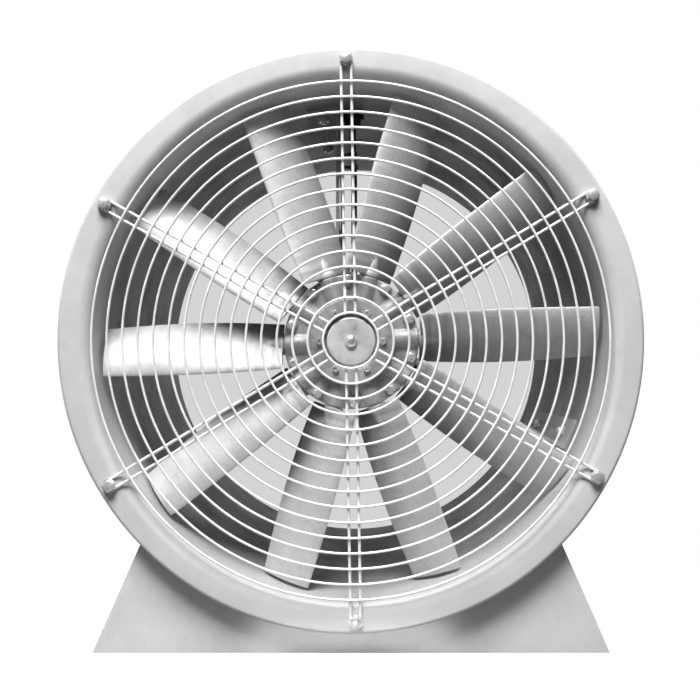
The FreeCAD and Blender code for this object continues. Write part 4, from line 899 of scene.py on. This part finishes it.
class FAN_OT_stage(FanOperator):
    """Sets the floor, the lights and the camera"""
    bl_idname = "fan.stage"
    bl_label = "Stage"

    def execute(self, context):
        settings = context.scene.fan_stage
        context.scene.view_settings.view_transform = "Standard"
        self.floor(settings)
        self.room(context.scene, settings)
        for name, offset, power, size in (
                ("key", (-0.4, -2.27, 3.5), settings.key_power, 2.0),
                ("fill", (-2.5, -1.6, 0.3), settings.fill_power, 1.4),
                ("behind", (0.3, 2.2, -0.25), settings.rear_power, 1.5),
                ("left", (-2.4, 1.1, 1.1), settings.side_power, 1.2),
                ("right", (2.4, 1.1, 1.1), settings.side_power, 1.2)):
            self.light(name, AXIS + Vector(offset), AXIS, power, size)
        low = Vector((0, facing("front_foot", 0), 0.018))
        card = self.light("card", low + Vector((0, -0.3, 0)), low, settings.card_power, 0.25)
        card.data.shape = "RECTANGLE"
        card.data.size_y = 0.02
        card.data.spread = math.radians(15)
        self.camera(context.scene)
        return {"FINISHED"}

    def floor(self, settings):
        """A pale disc that ends a little behind the object, where the room takes over."""
        geometry = bmesh.new()
        bmesh.ops.create_circle(geometry, cap_ends=True, segments=96, radius=settings.floor_radius)
        floor = from_bmesh("floor", geometry, False)
        material = bpy.data.materials.new("floor")
        material.use_nodes = True
        graph = Graph(material.node_tree)
        shader = material.node_tree.nodes["Principled BSDF"]
        shader.inputs["Base Color"].default_value = rgba(settings.floor)
        shader.inputs["Roughness"].default_value = 0.9
        shader.inputs["Emission Color"].default_value = (1, 1, 1, 1)
        seen = graph.add("ShaderNodeLightPath").outputs["Is Camera Ray"]
        graph.give(shader.inputs["Emission Strength"], graph.times(seen, settings.floor_glow))
        floor.data.materials.append(material)

    def room(self, scene, settings):
        """A white room, seen by the camera with a soft patch of painted shade straight beyond the fan, whose
        light on the object is weak.
        """
        world = bpy.data.worlds.new("room")
        scene.world = world
        world.use_nodes = True
        graph = Graph(world.node_tree)
        world.node_tree.nodes.clear()
        toward = graph.add("ShaderNodeTexCoord").outputs["Generated"]
        # Painted shade: camera rays toward the far side of the fan see grey instead of white.
        beyond = Vector((-0.012, 1, 0.022)).normalized()
        facing_it = graph.vector("DOT_PRODUCT", toward, tuple(beyond)).outputs["Value"]
        outer, inner = math.radians(13.8), math.radians(11.8)
        shade_pool = graph.ramp(facing_it, math.cos(outer), math.cos(inner))
        tone = graph.mix(shade_pool, (1, 1, 1, 1), rgba(settings.beyond))
        seen = graph.add("ShaderNodeBackground", Color=tone, Strength=1.0).outputs[0]
        cool = (0.97, 0.98, 1, 1)
        lit = graph.add("ShaderNodeBackground", Color=cool, Strength=settings.ambient).outputs[0]
        direct = graph.add("ShaderNodeLightPath").outputs["Is Camera Ray"]
        both = graph.add("ShaderNodeMixShader", in0=direct, in1=lit, in2=seen).outputs[0]
        graph.add("ShaderNodeOutputWorld", Surface=both)

    def light(self, name, place, target, power, size):
        data = bpy.data.lights.new(name, "AREA")
        data.energy = power
        data.size = size
        lamp = bpy.data.objects.new(name, data)
        lamp.location = place
        lamp.visible_camera = False
        lamp.rotation_euler = (Vector(target) - Vector(place)).to_track_quat("-Z", "Y").to_euler()
        bpy.context.scene.collection.objects.link(lamp)
        return lamp

    def camera(self, scene):
        data = bpy.data.cameras.new("camera")
        data.sensor_width = 36
        data.lens = 46.2
        data.shift_x = -0.023
        data.shift_y = 0.027
        camera = bpy.data.objects.new("camera", data)
        camera.location = (0.0184, -1.33, 0.351)
        camera.rotation_euler = (math.pi / 2, 0, 0)
        scene.collection.objects.link(camera)
        scene.camera = camera


class FAN_OT_casing(FanOperator):
    """Makes the inlet ring, the casing shell and their welds"""
    bl_idname = "fan.casing"
    bl_label = "Casing"

    half_sides = 6           # facets across the half-round of a weld bead
    sunk = 0.0004            # how far a bead's edges lie below the sheet

    def execute(self, context):
        settings = context.scene.fan_casing
        wall = settings.wall
        mouth = settings.mouth_radius
        edge = settings.edge_radius
        outside = RING_RADIUS
        outer = SHELL_RADIUS
        bore = outer - wall
        flat = bore + mouth
        lip = RING_FACE + mouth
        joint = lip + settings.collar
        rim = wall * 0.16                  # how much the sheet's cut edge is eased
        back = RING_FACE + settings.edge_depth
        ring = bmesh.new()
        outline = [(bore, joint)]
        outline += arc((flat, lip), mouth, 180, 270, 20)
        outline += arc((outside - edge, RING_FACE + edge), edge, -90, 0, 10)
        outline += [(outside, back - rim), (outside - rim, back)]
        outline += [(outside - wall + rim, back), (outside - wall, back - rim)]
        outline += arc((outside - edge, RING_FACE + edge), edge - wall, 0, -90, 6)
        outline += arc((flat, lip), mouth - wall, 270, 180, 14)
        outline += [(outer, joint)]
        spin(ring, outline, 320)
        piece = from_bmesh("inlet_ring_spun", outwards(ring))
        sharpen(piece.data, 50)
        fit(piece, "inlet_ring", "casing")

        shell = bmesh.new()
        spin(shell, [(bore, joint), (bore, SHELL_BACK), (outer, SHELL_BACK), (outer, joint)], 320)
        piece = from_bmesh("casing_shell_rolled", outwards(shell))
        sharpen(piece.data, 50)
        fit(piece, "casing_shell", "casing")

        bead = settings.weld_bead
        welds = bmesh.new()
        self.bead(welds, outer, joint, bead)
        self.bead(welds, outer, facing("outlet_flange", 0), bead)
        self.seam(welds, outer, (joint, SHELL_BACK), bead, math.radians(settings.seam_turn))
        add_on(from_bmesh("casing_welds", outwards(welds)), "casing_paint", "casing")
        ease_all({"outlet_flange": 0.0012, "front_foot": 0.0012, "rear_foot": 0.0012})
        self.foot_welds(outer, bead)
        return {"FINISHED"}

    def bead(self, geometry, radius, y, width):
        """A weld bead round the casing, with its ripples."""
        steps = 720
        rows = []
        for index in range(steps):
            ripple = 1 + 0.1 * math.sin(index * math.pi / 2) + 0.08 * math.sin(index * 0.7)
            across = radial(2 * math.pi * index / steps)
            row = []
            for point in range(self.half_sides + 1):
                turn = math.pi * point / self.half_sides
                reach = radius - self.sunk + width * 0.42 * math.sin(turn) * ripple
                place = AXIS + across * reach + Vector((0, y + width / 2 * math.cos(turn), 0))
                row.append(geometry.verts.new(place))
            rows.append(row)
        stitch(geometry, rows, closed=True)

    def seam(self, geometry, radius, span, width, turn):
        """The casing's lengthwise weld."""
        start, end = span
        steps = 260
        out = radial(turn)
        side = Vector((-math.sin(turn), 0, math.cos(turn)))
        rows = []
        for index in range(steps + 1):
            y = start + (end - start) * index / steps
            ripple = 1 + 0.1 * math.sin(index * math.pi / 2) + 0.1 * math.sin(index * 0.61)
            row = []
            for point in range(self.half_sides + 1):
                angle = math.pi * point / self.half_sides
                reach = radius - self.sunk + width * 0.32 * math.sin(angle) * ripple
                place = AXIS + out * reach + side * width / 2 * math.cos(angle) + Vector((0, y, 0))
                row.append(geometry.verts.new(place))
            rows.append(row)
        stitch(geometry, rows, ends=True)

    def foot_welds(self, radius, width):
        """Fillet welds where each foot's outer face meets the casing."""
        steps, sides, sheet = 300, 6, 0.003
        geometry = bmesh.new()
        for node, side in (("front_foot", 0), ("rear_foot", 1)):
            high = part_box(node)[1]
            y = facing(node, side) + sheet * (1 - 2 * side)
            half = math.acos((AXIS.z - high.z) / radius)
            rows = []
            for index in range(steps + 1):
                angle = -math.pi / 2 - half + 2 * half * index / steps
                ripple = 1 + 0.14 * math.sin(index * 1.9)
                row = []
                for point in range(sides):
                    turn = 2 * math.pi * point / sides
                    reach = radius + width * 0.35 * math.cos(turn) * ripple
                    aside = y + width * 0.35 * math.sin(turn) * ripple
                    row.append(geometry.verts.new(AXIS + radial(angle) * reach + Vector((0, aside, 0))))
                rows.append(row)
            stitch(geometry, rows, ends=True)
        add_on(from_bmesh("foot_welds", outwards(geometry)), "casing_paint", "casing")


class FAN_OT_guard(FanOperator):
    """Makes the guard's rings, spokes, spot welds and fasteners"""
    bl_idname = "fan.guard"
    bl_label = "Guard"

    washer_bore = 0.0042
    washer_radius = 0.0085

    def execute(self, context):
        settings = context.scene.fan_guard
        zinc = MATERIALS["guard_zinc"]
        turn = math.radians(settings.turn)
        ring_plane = middle_of("guard_rings").y
        spoke_plane = middle_of("guard_spokes").y
        rings = grow(from_bmesh("guard_rings_wire", bmesh.new()), "wire_rings", count=settings.rings,
                     first_radius=settings.first_radius, pitch=settings.pitch,
                     wire_radius=settings.ring_wire / 2, place=ring_plane, material=zinc)
        fit(rings, "guard_rings", "casing")

        hairpin = bmesh.new()
        path = self.hairpin(settings, spoke_plane)
        corners = [hairpin.verts.new(point) for point in path]
        for first, second in zip(corners, corners[1:]):
            hairpin.edges.new((first, second))
        spokes = grow(from_bmesh("guard_spokes_wire", hairpin), "wire_spokes", count=settings.spokes,
                      turn=turn, wire_radius=settings.spoke_wire / 2, material=zinc)
        fit(spokes, "guard_spokes", "casing")

        crossings = bmesh.new()
        plane = (ring_plane + settings.ring_wire / 2 + spoke_plane - settings.spoke_wire / 2) / 2
        for index in range(settings.rings):
            radius = settings.first_radius + settings.pitch * index
            across = settings.gap / 2
            up = math.sqrt(radius * radius - across * across)
            for side in (-1, 1):
                crossings.verts.new(AXIS + Vector((side * across, plane, up)))
        welds = grow(from_bmesh("guard_spot_welds", crossings), "spot_welds", count=settings.spokes,
                     turn=turn, width=settings.nugget, seed=3, material=zinc)
        add_on(welds, "guard_zinc", "casing")
        self.fasteners(settings, turn)
        return {"FINISHED"}

    def hairpin(self, settings, plane):
        """Path of one spoke: out along one wire, round the bolt and back along the other."""
        half = settings.gap / 2
        start = settings.first_radius - settings.ring_wire / 2
        points = [Vector((-half, plane, start)), Vector((-half, plane, settings.bolt_circle * 0.6))]
        for index in range(17):
            angle = math.pi - math.pi * index / 16
            points.append(Vector((half * math.cos(angle), plane,
                                  settings.bolt_circle + half * math.sin(angle))))
        points += [Vector((half, plane, settings.bolt_circle * 0.6)), Vector((half, plane, start))]
        return [AXIS + point for point in points]

    def fasteners(self, settings, turn):
        """The M8 washers and bolts, one of each at the end of every spoke."""
        place = AXIS + Vector((0, 0, settings.bolt_circle))
        front, back = facing("guard_washers", 0), facing("guard_washers", 1)
        washer = bmesh.new()
        disc(washer, place, self.washer_bore, self.washer_radius, front, back)
        repeated(washer, "guard_washers_eased", "guard_washers", "casing", settings.spokes, turn)
        head = front - facing("guard_bolts", 0)
        length = facing("guard_bolts", 1) - front
        bolt = bolt_form(place + Vector((0, front, 0)), M8, head, length)
        repeated(bolt, "guard_bolts_zinc", "guard_bolts", "casing", settings.spokes, turn)


class FAN_OT_blades(FanOperator):
    """Makes the aerofoil blades with their fairings"""
    bl_idname = "fan.blades"
    bl_label = "Blades"

    span_steps = 30
    chord_steps = 22
    trailing = 0.006         # half the thickness of the trailing edge, over the chord
    ease = 0.0012            # length over which the blade's two ends are rounded
    end_shrink = 0.985
    stem_radius = 0.0085
    stem_foot = 0.058        # how far in the stem starts, inside the hub
    # The fairing's bell: millimetres (radius, height above the hub's rim).
    bell = ((12.2, 0.5), (12.6, 2), (12.1, 4.5), (11, 7.5), (9.9, 10.5), (8.9, 14), (7.9, 17.5), (6.9, 21),
            (5.6, 24.5), (3, 28))

    def execute(self, context):
        settings = context.scene.fan_blades
        form = self.form(settings)
        for index in range(settings.count):
            name = f"blade_{index + 1:02d}"
            degrees = settings.turn + 360 / settings.count * index - 90
            place = Matrix.Translation(AXIS) @ Matrix.Rotation(math.radians(-degrees), 4, "Y")
            mesh = form.copy()
            mesh.transform(place)
            piece = object_from(f"{name}_cast", mesh)
            fit(piece, name, name)
        bpy.data.meshes.remove(form)
        return {"FINISHED"}

    def section(self, settings, share):
        """Closed loop of the section, from the trailing edge over the convex side and back."""
        def between(low, high):
            return low + (high - low) * share

        chord = between(settings.root_chord, settings.tip_chord)
        thick = between(settings.root_thickness, settings.tip_thickness)
        flatten = math.sin(share * math.pi / 2)
        twist = (settings.tip_stagger - settings.root_stagger) * flatten
        angle = math.radians(settings.root_stagger + twist)
        along = Vector((math.cos(angle), math.sin(angle), 0))
        out = Vector((math.sin(angle), -math.cos(angle), 0))
        height = between(settings.root, settings.tip)
        middle = Vector((0, SPLIT, height))
        pivot_camber = 4 * settings.camber * settings.pivot * (1 - settings.pivot)
        points = []
        count = self.chord_steps
        for index in range(2 * count):
            side = 1 if index <= count else -1
            turn = math.pi * (1 - index / count)
            station = (1 - math.cos(turn)) / 2
            camber = 4 * settings.camber * station * (1 - station)
            # The thickness of the usual four-digit aerofoil, closed at its trailing edge.
            half = thick / 2 * (2.969 * math.sqrt(station) - 1.26 * station - 3.516 * station ** 2
                                + 2.843 * station ** 3 - 1.036 * station ** 4) + self.trailing * station
            place = middle + along * (station - settings.pivot) * chord
            place += out * (camber - pivot_camber + side * half) * chord
            points.append((place, station * chord, height))
        last = middle + along * (1 - settings.pivot) * chord
        last += out * (-pivot_camber - self.trailing) * chord
        points.append((last, chord, height))
        return points

    def form(self, settings):
        """One blade at twelve o'clock: aerofoil, fairing and shank joined into one skin."""
        geometry = bmesh.new()
        surface = geometry.loops.layers.uv.new("surface")
        ease = self.ease / (settings.tip - settings.root)
        shares = [0, ease] + [step / self.span_steps for step in range(1, self.span_steps)]
        shares += [1 - ease, 1]
        rows = []
        places = {}
        for number, share in enumerate(shares):
            loop = self.section(settings, share)
            centre = sum((place for place, _, _ in loop), Vector()) / len(loop)
            shrink = self.end_shrink if number in (0, len(shares) - 1) else 1.0
            row = []
            for place, station, height in loop:
                corner = geometry.verts.new(centre + (place - centre) * shrink)
                places[corner] = (station, height)
                row.append(corner)
            rows.append(row)
        stitch(geometry, rows, ends=True)
        for face in geometry.faces:
            for loop in face.loops:
                loop[surface].uv = places[loop.vert]
        aerofoil = from_bmesh("blade_skin", outwards(geometry))

        shaft = bmesh.new()
        layer = shaft.loops.layers.uv.new("surface")
        outline = [(self.stem_radius, self.stem_foot), (self.stem_radius, HUB_RADIUS + 0.0004)]
        outline += [(radius / 1000, HUB_RADIUS + rise / 1000) for radius, rise in self.bell]
        self.spindle(shaft, outline)
        for face in shaft.faces:
            for loop in face.loops:
                loop[layer].uv = (loop.vert.co.x, loop.vert.co.z)
        fairing = from_bmesh("blade_fairing", outwards(shaft))
        joined = aerofoil.modifiers.new("join", "BOOLEAN")
        joined.operation = "UNION"
        joined.solver = "EXACT"
        joined.object = fairing
        aerofoil = settle(aerofoil)
        mesh = aerofoil.data
        bpy.data.objects.remove(aerofoil)
        bpy.data.objects.remove(fairing)
        sharpen(mesh, 42)
        return mesh

    def spindle(self, geometry, outline, steps=40):
        """A round form about the blade's own axis, from an outline of (radius, height)."""
        rings = []
        for radius, height in outline:
            ring = []
            for index in range(steps):
                angle = 2 * math.pi * index / steps
                place = (radius * math.cos(angle), SPLIT + radius * math.sin(angle), height)
                ring.append(geometry.verts.new(place))
            rings.append(ring)
        stitch(geometry, rings, ends=True)


class FAN_OT_hub(FanOperator):
    """Makes the hub castings, their bolts and the end of the shaft"""
    bl_idname = "fan.hub"
    bl_label = "Hub"

    bolt_circle = 0.077
    bolt_head = 0.0039

    def execute(self, context):
        for node, voxel in (("hub_front_half", 0.0011), ("hub_rear_half", 0.0016)):
            piece = merged_copy(node, f"{node}_cast")
            remesh = piece.modifiers.new("skin", "REMESH")
            remesh.mode = "VOXEL"
            remesh.voxel_size = voxel
            soften = piece.modifiers.new("soften", "SMOOTH")
            soften.factor = 0.5
            soften.iterations = 4
            piece = settle(piece)
            for face in piece.data.polygons:
                face.use_smooth = True
            fit(piece, node, "impeller")
        self.clamp_bolts(context.scene.fan_blades)
        self.end_bolt()
        ease_all({"shaft_end_cap": 0.0008, "bush_screws": 0.0004, "hub_bush": 0.0008, "hub_clamp_nuts": 0.0003})
        return {"FINISHED"}

    def end_bolt(self):
        """The bolt that holds the shaft's end cap, with a plain domed head."""
        low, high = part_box("shaft_end_bolt")
        seat = facing("shaft_end_cap", 0)
        head = half_width("shaft_end_bolt")
        rise = seat - low.y
        bolt = bmesh.new()
        outline = [(0.0001, high.y), (0.0001, low.y)]
        for degrees in range(12, 85, 8):
            turn = math.radians(degrees)
            outline.append((head * math.sin(turn), seat - rise * math.cos(turn) ** 0.6))
        outline += [(head, seat - rise * 0.12), (head, seat), (head * 0.6, seat), (head * 0.6, high.y)]
        spin(bolt, outline, 64)
        piece = from_bmesh("shaft_end_bolt_domed", outwards(bolt))
        sharpen(piece.data, 50)
        fit(piece, "shaft_end_bolt", "impeller")

    def clamp_bolts(self, settings):
        """The M6 bolts that clamp the hub's halves, one between each blade and the next."""
        half = math.pi / settings.count
        turn = math.radians(settings.turn - 90) + half
        seat = facing("hub_clamp_bolts", 0) + self.bolt_head
        place = AXIS + Vector((0, seat, self.bolt_circle))
        bolt = bolt_form(place, M6, self.bolt_head, facing("hub_clamp_bolts", 1) - seat)
        repeated(bolt, "hub_clamp_bolts_zinc", "hub_clamp_bolts", "impeller", settings.count, turn)


class FAN_OT_motor(FanOperator):
    """Eases the edges of the motor, its arms and the terminal box"""
    bl_idname = "fan.motor"
    bl_label = "Motor and terminal box"

    def execute(self, context):
        ease_all({
            "motor_frame": 0.0006, "motor_front_shield": 0.0015, "motor_rear_shield": 0.0015,
            "support_arm_top": 0.0008, "support_arm_left": 0.0008, "support_arm_right": 0.0008,
            "motor_gland": 0.0006, "casing_gland": 0.0006, "supply_gland": 0.0006,
            "terminal_box_base": 0.0018, "terminal_box_lid": 0.0018, "terminal_box_saddle": 0.0012,
            "terminal_lid_screws": 0.0003, "arm_wall_bolts": 0.0004, "motor_mount_bolts": 0.0004,
            "motor_tie_bolts": 0.0004,
        })
        return {"FINISHED"}


class FAN_PT_panel(bpy.types.Panel):
    """Lists the pieces of the fan"""
    bl_idname = "FAN_PT_panel"
    bl_label = "Cased axial fan"
    bl_space_type = "VIEW_3D"
    bl_region_type = "UI"
    bl_category = "Fan"

    def draw(self, context):
        for operator in OPERATORS:
            self.layout.operator(operator.bl_idname)


OPERATORS = (FAN_OT_stage, FAN_OT_finishes, FAN_OT_casing, FAN_OT_guard, FAN_OT_blades, FAN_OT_hub,
             FAN_OT_motor)
SETTINGS = {
    "fan_casing": FanCasingSettings,
    "fan_guard": FanGuardSettings,
    "fan_blades": FanBladeSettings,
    "fan_stage": FanStageSettings,
}


def register():
    for item in (*SETTINGS.values(), *OPERATORS, FAN_PT_panel):
        bpy.utils.register_class(item)
    for name, group in SETTINGS.items():
        setattr(bpy.types.Scene, name, bpy.props.PointerProperty(type=group))


def unregister():
    for name in SETTINGS:
        delattr(bpy.types.Scene, name)
    for item in reversed((*SETTINGS.values(), *OPERATORS, FAN_PT_panel)):
        bpy.utils.unregister_class(item)


def main():
    register()
    bpy.ops.fan.stage()
    bpy.ops.fan.finishes()
    bpy.ops.fan.casing()
    bpy.ops.fan.guard()
    bpy.ops.fan.blades()
    bpy.ops.fan.hub()
    bpy.ops.fan.motor()


if __name__ == "__main__":
    main()
